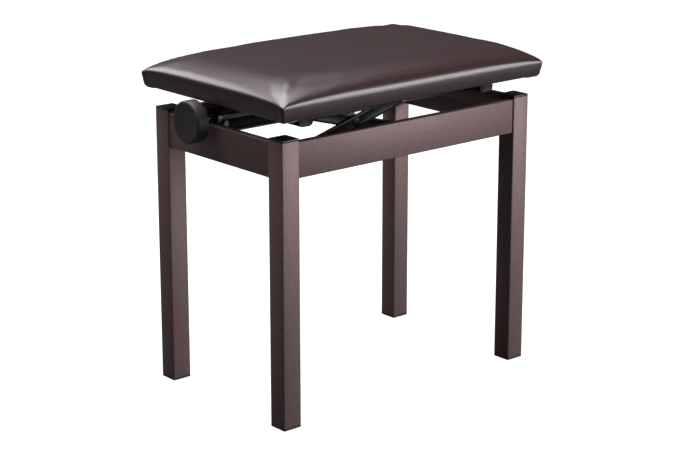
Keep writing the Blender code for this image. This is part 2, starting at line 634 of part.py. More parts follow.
def make_cross_channel(end, direction, steel):
    """A closed-ended channel across the seat, with a flange that is screwed to the board."""
    outer = CROSS_OUTER_X - SHEET / 2
    inner = CROSS_OUTER_X - CROSS_WIDTH + SHEET / 2
    top = SEAT_FRAME_TOP - SHEET / 2
    bottom = SEAT_FRAME_TOP - CROSS_DEPTH + SHEET / 2
    path = [(outer + CROSS_FLANGE, top), (outer, top), (outer, bottom), (inner, bottom)]
    path.append((inner, SEAT_FRAME_TOP))
    outline = folded(path, (FOLD_RADIUS, CROSS_CORNER, CROSS_CORNER))
    outline = [(direction * x, z) for x, z in outline]
    mesh = prism(f"seat_cross_{end}", [outline], 2 * CROSS_HALF_LENGTH)
    channel = place(f"seat_cross_{end}", mesh, steel, (0, 0, 0), ALONG_Y, SEAT)
    inset = 0.0006  # the end plates lie within the sheet's thickness all round
    cover = rounded_rectangle(CROSS_WIDTH - 2 * inset, CROSS_DEPTH - 2 * inset, CROSS_CORNER)
    plate = prism("cross_end", [cover], SHEET)
    hole = rod("seat_screw_hole", SEAT_SCREW_RADIUS + GAP, 5 * SHEET, 16)
    middle_x = direction * (CROSS_OUTER_X - CROSS_WIDTH / 2)
    middle_z = SEAT_FRAME_TOP - CROSS_DEPTH / 2
    for side, sign in SIDES.items():
        at = (middle_x, sign * (CROSS_HALF_LENGTH - SHEET / 2 - GAP), middle_z)
        combine(channel, helper(f"cross_end_{end}_{side}", plate, at, ALONG_Y, SEAT), "UNION")
        at = (direction * SEAT_SCREW_X, sign * SEAT_SCREW_Y, SEAT_FRAME_TOP)
        combine(channel, helper(f"cross_hole_{end}_{side}", hole, at, UPRIGHT, SEAT))


def make_board(wood, cloth):
    """The plywood board, and the thin black cloth that hides its underside."""
    board_size = (BOARD_LENGTH, BOARD_DEPTH, BOARD_THICKNESS)
    board_z = BOARD_BOTTOM + BOARD_THICKNESS / 2
    plank = block("seat_board", board_size, 0.001, 1)
    board = place("seat_board", plank, wood, (0, 0, board_z), UPRIGHT, SEAT)
    cloth_size = (BOARD_LENGTH - 2 * CLOTH_INSET, BOARD_DEPTH - 2 * CLOTH_INSET, CLOTH_THICKNESS)
    cloth_z = BOARD_BOTTOM - GAP - CLOTH_THICKNESS / 2
    cover = place("dust_cover", block("dust_cover", cloth_size), cloth, (0, 0, cloth_z), UPRIGHT, SEAT)
    hole = rod("board_hole", SEAT_SCREW_RADIUS + GAP, 2 * SEAT_SCREW_LENGTH, 16)
    for corner, end, side in CORNERS:
        at = (end * SEAT_SCREW_X, side * SEAT_SCREW_Y, SEAT_FRAME_TOP)
        drill = helper(f"board_hole_{corner}", hole, at, UPRIGHT, SEAT)
        combine(board, drill)
        combine(cover, drill)


def make_seat_screws(finish):
    """Pan-head screws that hold the cross channels to the board."""
    length = SEAT_SCREW_LENGTH
    radius = SEAT_SCREW_RADIUS
    head = SEAT_SCREW_HEAD_RADIUS
    point = 3 * SMALL_BREAK
    profile = [(0, length), (radius - point / 2, length), (radius, length - point), (radius, 0), (head, 0)]
    profile += [(0.95 * head, -SEAT_SCREW_HEAD / 2), (0.7 * head, -SEAT_SCREW_HEAD), (0, -SEAT_SCREW_HEAD)]
    for corner, end, side in CORNERS:
        at = (end * SEAT_SCREW_X, side * SEAT_SCREW_Y, SEAT_FRAME_TOP - SHEET - GAP)
        turned(f"seat_screw_{corner}", profile, finish, at, UPRIGHT, SEAT, 18)


def make_cushion(leather):
    """The padded top: a block with rolled edges, whose cover wraps down round the board."""
    height = CUSHION_TOP - CUSHION_BOTTOM
    work = bmesh.new()
    bmesh.ops.create_cube(work, size=1)
    bmesh.ops.scale(work, vec=(CUSHION_LENGTH, CUSHION_DEPTH, height), verts=work.verts)
    uprights = [edge for edge in work.edges if edge.verts[0].co.z * edge.verts[1].co.z < 0]
    bmesh.ops.bevel(work, geom=uprights, offset=CUSHION_CORNER, segments=3, profile=0.5, affect="EDGES")
    rim = [edge for edge in work.edges if min(v.co.z for v in edge.verts) > 0]
    bmesh.ops.bevel(work, geom=rim, offset=CUSHION_RIM, segments=4, profile=0.5, affect="EDGES")
    mesh = finished("cushion", work)
    cushion = place("cushion", mesh, leather, (0, 0, CUSHION_BOTTOM + height / 2), UPRIGHT, SEAT)
    smooth_rounds(cushion)
    pocket_top = BOARD_BOTTOM + BOARD_THICKNESS + GAP
    depth = 2 * (pocket_top - CUSHION_BOTTOM)
    pocket = block("cushion_pocket", (BOARD_LENGTH + 2 * GAP, BOARD_DEPTH + 2 * GAP, depth))
    combine(cushion, helper("cushion_pocket", pocket, (0, 0, pocket_top - depth / 2), UPRIGHT, SEAT))


# ---------------------------------------------------------------- build
clear_scene()
PARTS = collection("piano_bench")
HELPERS = collection("cutters", helpers=True)

FRAME = pivot("frame_centre", (CENTRE_X, 0, 0))
LIFT_PIVOT = pivot("lift_pivot", (PIVOT_X, 0, LOWER_PIVOT_Z), FRAME, -REST_ANGLE)
CROSS_AT = ((PIVOT_X + SLIDE_X) / 2, 0, (LOWER_PIVOT_Z + UPPER_PIVOT_Z) / 2)
CROSS_PIVOT = pivot("cross_pivot", CROSS_AT, FRAME, REST_ANGLE)
SEAT_PIVOT = pivot("seat_pivot", (PIVOT_X, 0, UPPER_PIVOT_Z), FRAME)
NUT_PIVOT = pivot("nut_pivot", (SLIDE_X, 0, LOWER_PIVOT_Z), FRAME)
SEAT = pivot("seat_centre", (-PIVOT_X, 0, -UPPER_PIVOT_Z), SEAT_PIVOT)  # carries the seat's own pieces
SCREW_AXIS = pivot("screw_axis", (0, SCREW_Y, SCREW_Z), FRAME)

FRAME_STEEL = material("brown_powder_coat", (0.165, 0.115, 0.112), 0.45, 0.3)
BLACK_STEEL = material("black_enamel", (0.012, 0.012, 0.014), 0.4)
ZINC = material("bright_zinc", (0.62, 0.62, 0.60), 0.35, 1.0)
CAP_PLASTIC = material("cap_plastic", (0.02, 0.02, 0.02), 0.4)
KNOB_PLASTIC = material("knob_plastic", (0.035, 0.033, 0.033), 0.55)
NYLON = material("nylon", (0.75, 0.73, 0.68), 0.5)
PLYWOOD = material("plywood", (0.55, 0.38, 0.22), 0.7)
LINING = material("lining_cloth", (0.02, 0.02, 0.02), 0.9)
LEATHERETTE = material("dark_brown_leatherette", (0.055, 0.038, 0.036), 0.35)

make_legs(FRAME_STEEL, CAP_PLASTIC)
make_rails(FRAME_STEEL)
for side_name, side_sign in SIDES.items():
    make_base_channel(side_name, side_sign, BLACK_STEEL)
    make_seat_rail(side_name, side_sign, BLACK_STEEL)
for end_name, end_sign in ENDS.items():
    make_cross_channel(end_name, end_sign, BLACK_STEEL)
make_bolts(ZINC)
make_bearing_plate(BLACK_STEEL)
make_bush(NYLON)
make_arms(BLACK_STEEL)
make_shafts(ZINC, BLACK_STEEL, NYLON)
make_nut(ZINC)
make_screw(ZINC)
make_collar(ZINC)
make_knob(KNOB_PLASTIC, ZINC)
make_board(PLYWOOD, LINING)
make_seat_screws(ZINC)
make_cushion(LEATHERETTE)
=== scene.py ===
# %% [markdown]
# # A piano bench with a screw-driven lift
# The real bench is a welded steel leg frame, a scissor lift between it and the seat, and a padded top.
# A knob at the left end turns a long screw, the screw draws a nut along, and the seat rises.
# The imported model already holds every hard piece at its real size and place, and it knows what moves.
# This lesson adds what the eye judges: paint, leatherette, plastic, threads, folds, staples and welds.
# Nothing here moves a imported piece. Each new piece takes its place from a packed one and rides with it.

import json
import math

import bmesh
import bpy
import numpy as np
from mathutils import Euler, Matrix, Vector
from mathutils.kdtree import KDTree

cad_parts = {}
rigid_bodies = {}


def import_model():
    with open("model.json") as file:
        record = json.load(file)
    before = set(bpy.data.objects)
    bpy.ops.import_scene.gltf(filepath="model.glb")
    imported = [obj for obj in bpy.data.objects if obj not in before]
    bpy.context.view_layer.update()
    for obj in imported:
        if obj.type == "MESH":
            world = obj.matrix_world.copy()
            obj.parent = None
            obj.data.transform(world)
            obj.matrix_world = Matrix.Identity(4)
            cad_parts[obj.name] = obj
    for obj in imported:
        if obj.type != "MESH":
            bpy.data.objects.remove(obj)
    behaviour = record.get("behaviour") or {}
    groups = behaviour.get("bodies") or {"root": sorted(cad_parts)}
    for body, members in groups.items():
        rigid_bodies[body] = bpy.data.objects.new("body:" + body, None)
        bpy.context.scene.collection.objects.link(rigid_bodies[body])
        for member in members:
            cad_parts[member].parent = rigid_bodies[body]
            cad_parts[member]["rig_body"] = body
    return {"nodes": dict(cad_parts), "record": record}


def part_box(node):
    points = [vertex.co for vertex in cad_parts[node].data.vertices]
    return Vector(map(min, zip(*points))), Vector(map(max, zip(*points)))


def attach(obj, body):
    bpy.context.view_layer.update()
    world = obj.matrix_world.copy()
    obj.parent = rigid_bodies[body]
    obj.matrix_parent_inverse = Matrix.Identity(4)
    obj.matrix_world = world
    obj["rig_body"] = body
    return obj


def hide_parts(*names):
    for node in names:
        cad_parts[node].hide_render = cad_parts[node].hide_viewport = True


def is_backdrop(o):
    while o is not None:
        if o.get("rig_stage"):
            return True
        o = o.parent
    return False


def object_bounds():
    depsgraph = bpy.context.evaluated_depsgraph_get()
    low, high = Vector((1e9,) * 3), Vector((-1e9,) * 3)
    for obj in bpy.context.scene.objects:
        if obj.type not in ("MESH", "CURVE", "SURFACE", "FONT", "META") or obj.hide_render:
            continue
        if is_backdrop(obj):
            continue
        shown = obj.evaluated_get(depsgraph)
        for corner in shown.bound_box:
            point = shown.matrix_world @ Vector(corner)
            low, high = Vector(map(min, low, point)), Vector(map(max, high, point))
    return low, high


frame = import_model()
CAD_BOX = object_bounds()
MM = 0.001
scene = bpy.context.scene
print("size of the bench in mm:", [round(side / MM, 1) for side in CAD_BOX[1] - CAD_BOX[0]])

# %% [markdown]
# ## The camera
# A long lens from about two and a half metres keeps the legs nearly parallel, as a catalogue picture does.
# The aim could come from a Track To constraint. Two plain angles are easier to read and to change.
# The small shift lowers the bench in the frame without tilting the camera further.

# %% Camera
CAMERA_AT = (-1.7073, -2.0047, 0.9827)
CAMERA_TURN = math.radians(40.6)  # clockwise from straight along +Y
CAMERA_DOWN = math.radians(15.12)
LENS = 100.2
SHIFT = (-0.011, -0.0515)

camera = bpy.data.objects.new("camera", bpy.data.cameras.new("camera"))
camera.data.lens = LENS
camera.data.shift_x, camera.data.shift_y = SHIFT
camera.location = CAMERA_AT
camera.rotation_euler = (math.pi / 2 - CAMERA_DOWN, 0, -CAMERA_TURN)
scene.collection.objects.link(camera)
scene.camera = camera
print("camera at", CAMERA_AT, "with a", LENS, "mm lens")

# %% [markdown]
# ## A helper for shader nodes
# A material is a small tree of nodes. Each node is made, set up and wired the same way, so one function
# does it: a value that is itself a socket becomes a link, and anything else becomes the socket's number.


# %% Node helper
def add(tree, kind, sockets=None, **settings):
    """A new node. `sockets` gives each input a number, a colour or another node's output."""
    made = tree.nodes.new(kind)
    for name, value in settings.items():
        setattr(made, name, value)
    for name, value in (sockets or {}).items():
        if isinstance(value, bpy.types.NodeSocket):
            tree.links.new(value, made.inputs[name])
        else:
            made.inputs[name].default_value = value
    return made


def maths(tree, operation, first, second):
    """The output of a Math node."""
    return add(tree, "ShaderNodeMath", {0: first, 1: second}, operation=operation).outputs[0]


def ramp(tree, value, low, high):
    """0 below `low`, 1 above `high`, and smooth between them."""
    made = add(tree, "ShaderNodeMapRange", {"Value": value, "From Min": low, "From Max": high})
    made.interpolation_type = "SMOOTHSTEP"
    return made.outputs["Result"]


def blend_colours(tree, share, first, second):
    """The first colour where share is 0, and the second where it is 1."""
    made = add(tree, "ShaderNodeMix", data_type="RGBA")
    for socket, value in zip([made.inputs[0], made.inputs[6], made.inputs[7]], [share, first, second]):
        if isinstance(value, bpy.types.NodeSocket):
            tree.links.new(value, socket)
        else:
            socket.default_value = value
    return made.outputs[2]


print("node helpers are ready")

# %% [markdown]
# ## The studio
# A plain pale floor and three soft lights. The large one in front on the right lights the front faces and
# draws the long highlight along the front of the cushion. The one above keeps the top from going black,
# and the one high at the back draws the highlight on the left end.
# The floor is pale to the camera, and a darker grey to the light that bounces up from it: this is how
# a black card on a studio floor keeps the shaded side of a dark object dark.


# %% Floor, world and lights
def soft_light(name, at, aim, size, power, colour=(1, 1, 1)):
    """A rectangular light that faces the point `aim`."""
    lamp = bpy.data.lights.new(name, "AREA")
    lamp.shape = "RECTANGLE"
    lamp.size, lamp.size_y = size
    lamp.energy = power
    lamp.color = colour
    made = bpy.data.objects.new(name, lamp)
    made.location = at
    made.rotation_euler = (Vector(aim) - Vector(at)).to_track_quat("-Z", "Y").to_euler()
    scene.collection.objects.link(made)
    return made


def camera_only(tree, seen, otherwise):
    """One shader for the camera and another for every other ray."""
    path = add(tree, "ShaderNodeLightPath")
    share = path.outputs["Is Camera Ray"]
    return add(tree, "ShaderNodeMixShader", {0: share, 1: otherwise, 2: seen}).outputs[0]


FLOOR_SIDE = 60.0
floor_mesh = bpy.data.meshes.new("floor")
sheet = bmesh.new()
bmesh.ops.create_grid(sheet, x_segments=1, y_segments=1, size=FLOOR_SIDE / 2)
sheet.to_mesh(floor_mesh)
sheet.free()
floor = bpy.data.objects.new("floor", floor_mesh)
scene.collection.objects.link(floor)
floor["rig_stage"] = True

paint = bpy.data.materials.new("pale_floor")
paint.use_nodes = True
tree = paint.node_tree
tree.nodes.clear()
pale = add(tree, "ShaderNodeBsdfDiffuse", {"Color": (0.3, 0.3, 0.3, 1)}).outputs[0]
glow = add(tree, "ShaderNodeEmission", {"Color": (1, 1, 1, 1), "Strength": 0.985}).outputs[0]
lit = add(tree, "ShaderNodeAddShader", {0: pale, 1: glow}).outputs[0]
grey = add(tree, "ShaderNodeBsdfDiffuse", {"Color": (0.11, 0.11, 0.11, 1)}).outputs[0]
add(tree, "ShaderNodeOutputMaterial", {"Surface": camera_only(tree, lit, grey)})
floor_mesh.materials.append(paint)

world = bpy.data.worlds.new("studio")
scene.world = world
world.use_nodes = True
tree = world.node_tree
tree.nodes.clear()
white = add(tree, "ShaderNodeBackground", {"Color": (1, 1, 1, 1), "Strength": 1.0}).outputs[0]
room = add(tree, "ShaderNodeBackground", {"Color": (0.95, 0.97, 1, 1), "Strength": 0.05}).outputs[0]
add(tree, "ShaderNodeOutputWorld", {"Surface": camera_only(tree, white, room)})

AIM = (0, 0, 0.35)
soft_light("front_light", (2.7, -3.8, 0.95), AIM, (3.0, 2.5), 192, (1, 0.985, 1))
soft_light("top_light", (-0.2, 0.6, 2.6), AIM, (2.4, 1.6), 84, (1, 0.97, 0.99))
soft_light("back_light", (-0.6, 2.6, 2.1), (0, 0, 0.45), (1.6, 0.8), 26, (1, 0.98, 1))
scene.view_settings.view_transform = "Standard"

# %% [markdown]
# ## Patterns that several finishes share
# Powder paint, enamel and moulded plastic all have a fine texture, faint smudges and lighter edges, which are
# partly wear and partly a painted highlight.
# Each effect is built once as a node group, with inputs for its size and strength.
# The groups put out heights, masks and values only. The shader itself stays in each material.


# %% Groups
def group(name, inputs, outputs):
    """An empty node group with number sockets, and its two end nodes."""
    made = bpy.data.node_groups.new(name, "ShaderNodeTree")
    for label, value in inputs.items():
        socket = made.interface.new_socket(label, in_out="INPUT", socket_type="NodeSocketFloat")
        socket.default_value = value
    for label in outputs:
        made.interface.new_socket(label, in_out="OUTPUT", socket_type="NodeSocketFloat")
    return made, made.nodes.new("NodeGroupInput"), made.nodes.new("NodeGroupOutput")


def noise(tree, scale, detail=2.0, roughness=0.5):
    """Noise of the piece's own coordinates, which are in metres."""
    where = add(tree, "ShaderNodeTexCoord").outputs["Object"]
    values = {"Vector": where, "Scale": scale, "Detail": detail, "Roughness": roughness}
    return add(tree, "ShaderNodeTexNoise", values).outputs[0]


def make_fine_texture():
    """The orange-peel surface of sprayed paint, and the smaller grit of a moulded one."""
    tree, given, out = group("fine_texture", {"Bumps Per Metre": 400, "Grit": 0.3}, ["Height"])
    peel = noise(tree, given.outputs["Bumps Per Metre"], 1.0)
    finer = maths(tree, "MULTIPLY", given.outputs["Bumps Per Metre"], 5.0)
    grit = maths(tree, "MULTIPLY", noise(tree, finer, 1.0), given.outputs["Grit"])
    tree.links.new(maths(tree, "ADD", peel, grit), out.inputs["Height"])
    return tree


def make_smudges():
    """Slow changes in gloss, from handling and from uneven spraying, about 0 and up to `Amount`."""
    tree, given, out = group("smudges", {"Amount": 0.05, "Size": 0.06}, ["Change"])
    scale = maths(tree, "DIVIDE", 1.0, given.outputs["Size"])
    cloud = maths(tree, "SUBTRACT", noise(tree, scale, 3.0, 0.6), 0.5)
    doubled = maths(tree, "MULTIPLY", cloud, 2.0)
    tree.links.new(maths(tree, "MULTIPLY", doubled, given.outputs["Amount"]), out.inputs["Change"])
    return tree


def make_edges():
    """1 along outer edges, where a coating is thin and wears, and 0 on flats. The lighter colour it brings
    there is also a painted highlight.
    """
    tree, given, out = group("edges", {"Width": 0.0012, "Patchiness": 0.5}, ["Mask"])
    rounded = add(tree, "ShaderNodeBevel", {"Radius": given.outputs["Width"]}, samples=4).outputs[0]
    plain = add(tree, "ShaderNodeNewGeometry").outputs["Normal"]
    facing = add(tree, "ShaderNodeVectorMath", {0: rounded, 1: plain}, operation="DOT_PRODUCT")
    turned = ramp(tree, maths(tree, "SUBTRACT", 1.0, facing.outputs["Value"]), 0.01, 0.12)
    patches = maths(tree, "MULTIPLY", noise(tree, 160.0, 2.0), given.outputs["Patchiness"])
    tree.links.new(maths(tree, "MULTIPLY", turned, maths(tree, "ADD", patches, 0.5)), out.inputs["Mask"])
    return tree


FINE_TEXTURE = make_fine_texture()
SMUDGES = make_smudges()
EDGES = make_edges()


def use(tree, shared, **values):
    """A shared group placed in a material, with its own numbers."""
    made = tree.nodes.new("ShaderNodeGroup")
    made.node_tree = shared
    for name, value in values.items():
        made.inputs[name.replace("_", " ").title()].default_value = value
    return made.outputs[0]


print("groups:", ", ".join(shared.name for shared in bpy.data.node_groups))

# %% [markdown]
# ## The finishes
# Every finish starts as one Principled shader with its plain numbers set on its own sockets.
# What changes over the surface is then wired in: colour, roughness and a bump for the fine relief.
# A constant never passes through a node, so that other programs read it too.


# %% Start of a finish
def finish_of(name, colour, roughness, **plain):
    """A material, its node tree and its Principled shader."""
    made = bpy.data.materials.new(name)
    made.use_nodes = True
    shader = made.node_tree.nodes["Principled BSDF"]
    shader.inputs["Base Color"].default_value = (*colour, 1)
    shader.inputs["Roughness"].default_value = roughness
    for label, value in plain.items():
        shader.inputs[label.replace("_", " ").title().replace("Ior", "IOR")].default_value = value
    return made, made.node_tree, shader


def relief(tree, shader, height, depth, strength=1.0):
    """A bump of `depth` metres, read from a height between 0 and about 1."""
    values = {"Height": height, "Distance": depth, "Strength": strength}
    bump = add(tree, "ShaderNodeBump", values)
    tree.links.new(bump.outputs[0], shader.inputs["Normal"])


def vary_gloss(tree, shader, roughness, amount, size=0.06):
    """Roughness with faint smudges in it."""
    change = use(tree, SMUDGES, amount=amount, size=size)
    tree.links.new(maths(tree, "ADD", change, roughness), shader.inputs["Roughness"])


print("finishes start from one Principled shader each")

# %% [markdown]
# ## Brown powder coat
# The leg frame is sprayed with a brown powder that holds fine metal flakes, then baked.
# The flakes could be tiny meshes, but at this size they are only specks that change the colour.
# So a cell pattern picks a few cells at random and makes them lighter.


# %% Powder coat
def make_powder_coat():
    brown, light, worn_and_highlit = (0.172, 0.108, 0.108, 1), (0.32, 0.23, 0.23, 1), (0.28, 0.195, 0.195, 1)
    made, tree, shader = finish_of("brown_powder_coat", brown[:3], 0.52, metallic=0.3)
    where = add(tree, "ShaderNodeTexCoord").outputs["Object"]
    cells = add(tree, "ShaderNodeTexVoronoi", {"Vector": where, "Scale": 2600.0})
    shade = add(tree, "ShaderNodeSeparateColor", {0: cells.outputs["Color"]}).outputs[0]
    flecked = blend_colours(tree, ramp(tree, shade, 0.72, 0.98), brown, light)
    # Lighter edges: partly wear of the powder coat, partly a painted highlight where the edges catch the
    # light.
    edged = blend_colours(tree, use(tree, EDGES, width=0.0008, patchiness=0.7), flecked, worn_and_highlit)
    tree.links.new(edged, shader.inputs["Base Color"])
    vary_gloss(tree, shader, 0.52, 0.05, 0.08)
    relief(tree, shader, use(tree, FINE_TEXTURE, bumps_per_metre=900.0, grit=0.4), 0.00012, 0.35)
    return made


def make_black_enamel():
    """The lift is dipped in a shinier black, with a stronger orange peel."""
    black = (0.009, 0.009, 0.010)
    made, tree, shader = finish_of("black_enamel", black, 0.42)
    shader.inputs["Specular IOR Level"].default_value = 0.12
    # Greyer edges: partly wear of the enamel, partly a painted highlight where the edges catch the light.
    rubbed_and_highlit = use(tree, EDGES, width=0.0007, patchiness=0.9)
    edged = blend_colours(tree, rubbed_and_highlit, (*black, 1), (0.035, 0.035, 0.037, 1))
    tree.links.new(edged, shader.inputs["Base Color"])
    vary_gloss(tree, shader, 0.42, 0.08, 0.03)
    relief(tree, shader, use(tree, FINE_TEXTURE, bumps_per_metre=350.0, grit=0.1), 0.0003, 0.4)
    return made


POWDER_COAT = make_powder_coat()
BLACK_ENAMEL = make_black_enamel()
print("paints:", POWDER_COAT.name, BLACK_ENAMEL.name)

# %% [markdown]
# ## Plated steel
# Bolts, shafts, screw and nut are zinc plated. Zinc is grey, slightly blue, and cloudy rather than
# mirror-like. The clouds could be painted by hand, but a noise that mixes two greys needs no picture.


# %% Zinc and steel
def make_zinc():
    grey, cloudy = (0.44, 0.45, 0.46, 1), (0.34, 0.35, 0.37, 1)
    made, tree, shader = finish_of("bright_zinc", grey[:3], 0.34, metallic=1.0)
    tree.links.new(blend_colours(tree, noise(tree, 220.0, 3.0), grey, cloudy), shader.inputs["Base Color"])
    vary_gloss(tree, shader, 0.34, 0.12, 0.01)
    relief(tree, shader, use(tree, FINE_TEXTURE, bumps_per_metre=1500.0, grit=0.5), 0.00008, 0.3)
    return made


def make_weld_steel(name, colour):
    """A weld under paint: the paint's own colour with a rougher skin."""
    made, tree, shader = finish_of(name, colour, 0.5, metallic=0.25)
    vary_gloss(tree, shader, 0.5, 0.1, 0.01)
    relief(tree, shader, use(tree, FINE_TEXTURE, bumps_per_metre=700.0, grit=0.8), 0.0004, 0.6)
    return made


ZINC = make_zinc()
BROWN_WELD = make_weld_steel("painted_weld", (0.15, 0.105, 0.10))
BLACK_WELD = make_weld_steel("enamelled_weld", (0.014, 0.014, 0.015))
print("metals:", ZINC.name, BROWN_WELD.name, BLACK_WELD.name)

# %% [markdown]
# ## Moulded plastics
# Caps and feet come out of a spark-eroded mould, so they have a fine even grit and a soft sheen.
# The knob has the same grit but is duller. The nylon of rollers and bush is a warm off-white.


# %% Plastics
def make_plastic(name, colour, roughness, grit, depth):
    made, tree, shader = finish_of(name, colour, roughness)
    # The lighter edge colour is a painted highlight where the rounded edges catch the light.
    lighter = tuple(min(1.0, part * 1.6 + 0.01) for part in colour)
    edged = blend_colours(tree, use(tree, EDGES, width=0.0006, patchiness=0.6), (*colour, 1), (*lighter, 1))
    tree.links.new(edged, shader.inputs["Base Color"])
    vary_gloss(tree, shader, roughness, 0.06, 0.012)
    relief(tree, shader, use(tree, FINE_TEXTURE, bumps_per_metre=1100.0, grit=grit), depth, 0.5)
    return made


CAP_PLASTIC = make_plastic("cap_plastic", (0.018, 0.018, 0.019), 0.36, 0.4, 0.00015)
FOOT_PLASTIC = make_plastic("foot_plastic", (0.02, 0.02, 0.02), 0.6, 0.8, 0.0002)
KNOB_PLASTIC = make_plastic("knob_plastic", (0.046, 0.043, 0.045), 0.52, 0.9, 0.0002)
NYLON = make_plastic("nylon", (0.70, 0.68, 0.62), 0.45, 0.3, 0.0001)
print("plastics:", CAP_PLASTIC.name, FOOT_PLASTIC.name, KNOB_PLASTIC.name, NYLON.name)

# %% [markdown]
# ## Leatherette
# The cover is vinyl on cloth, rolled with a pattern of small pebbles. Real hide grain could be drawn as
# lines, but a cell pattern gives it in one node: each cell is a pebble, and the gaps are the creases.
# Two sizes of cells break up the repeat. The vinyl has a satin skin, which a thin rough coat gives.


# %% Leatherette
def make_leatherette():
    # deep is painted shade: the darker colour given to the creases between the pebbles.
    brown, deep = (0.052, 0.024, 0.026, 1), (0.034, 0.015, 0.0165, 1)
    made, tree, shader = finish_of("leatherette", brown[:3], 0.34, coat_weight=0.8, coat_roughness=0.3)
    where = add(tree, "ShaderNodeTexCoord").outputs["Object"]
    clouds = add(tree, "ShaderNodeTexNoise", {"Vector": where, "Scale": 300.0, "Detail": 2.0})
    bent = add(tree, "ShaderNodeMix", {0: 0.0012}, data_type="VECTOR")
    tree.links.new(where, bent.inputs[4])
    tree.links.new(clouds.outputs["Color"], bent.inputs[5])
    pebbles = []
    for cells_per_metre in (700.0, 1500.0):
        cell = add(tree, "ShaderNodeTexVoronoi", {"Scale": cells_per_metre}, feature="DISTANCE_TO_EDGE")
        tree.links.new(bent.outputs[1], cell.inputs["Vector"])
        pebbles.append(ramp(tree, cell.outputs["Distance"], 0.02, 0.35))
    grain = maths(tree, "ADD", pebbles[0], maths(tree, "MULTIPLY", pebbles[1], 0.4))
    # The gaps between pebbles are coloured darker as painted shade in the grain's creases.
    tree.links.new(blend_colours(tree, pebbles[0], deep, brown), shader.inputs["Base Color"])
    vary_gloss(tree, shader, 0.34, 0.04, 0.05)
    relief(tree, shader, grain, 0.00025, 0.35)
    return made


LEATHERETTE = make_leatherette()
print("cover finish:", LEATHERETTE.name)

# %% [markdown]
# ## Plywood and lining cloth
# The board is three-ply birch: its grain is a noise stretched along its length.
# The lining is a black felted cloth, pressed with a grid of tiny dots that hold its fibres together.


# %% Plywood and cloth
def make_plywood():
    pale, dark = (0.56, 0.40, 0.24, 1), (0.40, 0.26, 0.14, 1)
    made, tree, shader = finish_of("plywood", pale[:3], 0.7)
    where = add(tree, "ShaderNodeTexCoord").outputs["Object"]
    long = add(tree, "ShaderNodeMapping", {"Vector": where, "Scale": (3.0, 60.0, 300.0)}).outputs[0]
    grain = add(tree, "ShaderNodeTexNoise", {"Vector": long, "Scale": 4.0, "Detail": 6.0}).outputs[0]
    tree.links.new(blend_colours(tree, ramp(tree, grain, 0.4, 0.65), pale, dark), shader.inputs["Base Color"])
    vary_gloss(tree, shader, 0.7, 0.05, 0.04)
    relief(tree, shader, grain, 0.0003, 0.4)
    return made


def make_lining():
    black = (0.017, 0.017, 0.018)
    made, tree, shader = finish_of("lining_cloth", black, 0.95, sheen_weight=0.3, sheen_roughness=0.6)
    where = add(tree, "ShaderNodeTexCoord").outputs["Object"]
    dots = add(tree, "ShaderNodeTexVoronoi", {"Vector": where, "Scale": 550.0, "Randomness": 0.0})
    dimple = ramp(tree, dots.outputs["Distance"], 0.15, 0.4)
    dotted = blend_colours(tree, dimple, (0.008, 0.008, 0.009, 1), (0.022, 0.022, 0.023, 1))
    tree.links.new(dotted, shader.inputs["Base Color"])
    vary_gloss(tree, shader, 0.95, 0.04, 0.02)
    relief(tree, shader, dimple, 0.0002, 0.5)
    return made


PLYWOOD = make_plywood()
LINING = make_lining()
print("finishes:", len(bpy.data.materials))

# %% [markdown]
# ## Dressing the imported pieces
# Tubes, channels, arms, shafts and bolts already have their right shape, so they stay and get a finish.
# A real edge is never perfectly sharp, and a sharp one in a model catches no light. A Bevel modifier
# rounds it a little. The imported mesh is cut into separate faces, so a Weld comes first to join them.

# %% Dress
FINISHES = {
    "brown_powder_coat": POWDER_COAT,
    "black_enamel": BLACK_ENAMEL,
    "bright_zinc": ZINC,
    "cap_plastic": CAP_PLASTIC,
    "foot_plastic": FOOT_PLASTIC,
    "knob_plastic": KNOB_PLASTIC,
    "nylon": NYLON,
    "plywood": PLYWOOD,
    "lining_cloth": LINING,
    "leatherette": LEATHERETTE,
}
EDGE_ROUNDING = {"brown_powder_coat": 0.3 * MM, "black_enamel": 0.35 * MM, "cap_plastic": 0.7 * MM}
SMOOTH_ANGLE = math.radians(35)


def smooth(mesh):
    """Smooth shading that keeps real corners crisp."""
    mesh.shade_smooth()
    mesh.set_sharp_from_angle(angle=SMOOTH_ANGLE)


def dress(node, slot):
    piece = frame["nodes"][node]
    piece.data.materials.clear()
    piece.data.materials.append(FINISHES[slot])
    if "custom_normal" in piece.data.attributes:
        piece.data.attributes.remove(piece.data.attributes["custom_normal"])
    weld = piece.modifiers.new("weld", "WELD")
    weld.merge_threshold = 0.01 * MM
    bevel = piece.modifiers.new("round_edges", "BEVEL")
    bevel.width = EDGE_ROUNDING.get(slot, 0.2 * MM)
    bevel.segments = 2
    bevel.limit_method = "ANGLE"
    bevel.angle_limit = SMOOTH_ANGLE
    bevel.harden_normals = False
    smooth(piece.data)


for part in frame["record"]["subparts"]:
    dress(part["node"], part["material_slot"])

# %% [markdown]
# ## Helpers for new pieces
# Turned pieces, beads and threads are all rings of points joined into a skin. One function joins the rings,
# and another turns the finished mesh into a piece: it gets a finish and a body to ride on.


# %% Piece helpers
def skin(rings, closed_ends=True):
    """A mesh through equal rings of points. The first and last rings can be filled."""
    work = bmesh.new()
    rows = [[work.verts.new(point) for point in ring] for ring in rings]
    for row, following in zip(rows, rows[1:]):
        for index in range(len(row)):
            after = (index + 1) % len(row)
            work.faces.new((row[index], row[after], following[after], following[index]))
    if closed_ends:
        work.faces.new(rows[0])
        work.faces.new(rows[-1])
    return work


def circle(steps):
    """Equal angles once round."""
    return [2 * math.pi * step / steps for step in range(steps)]


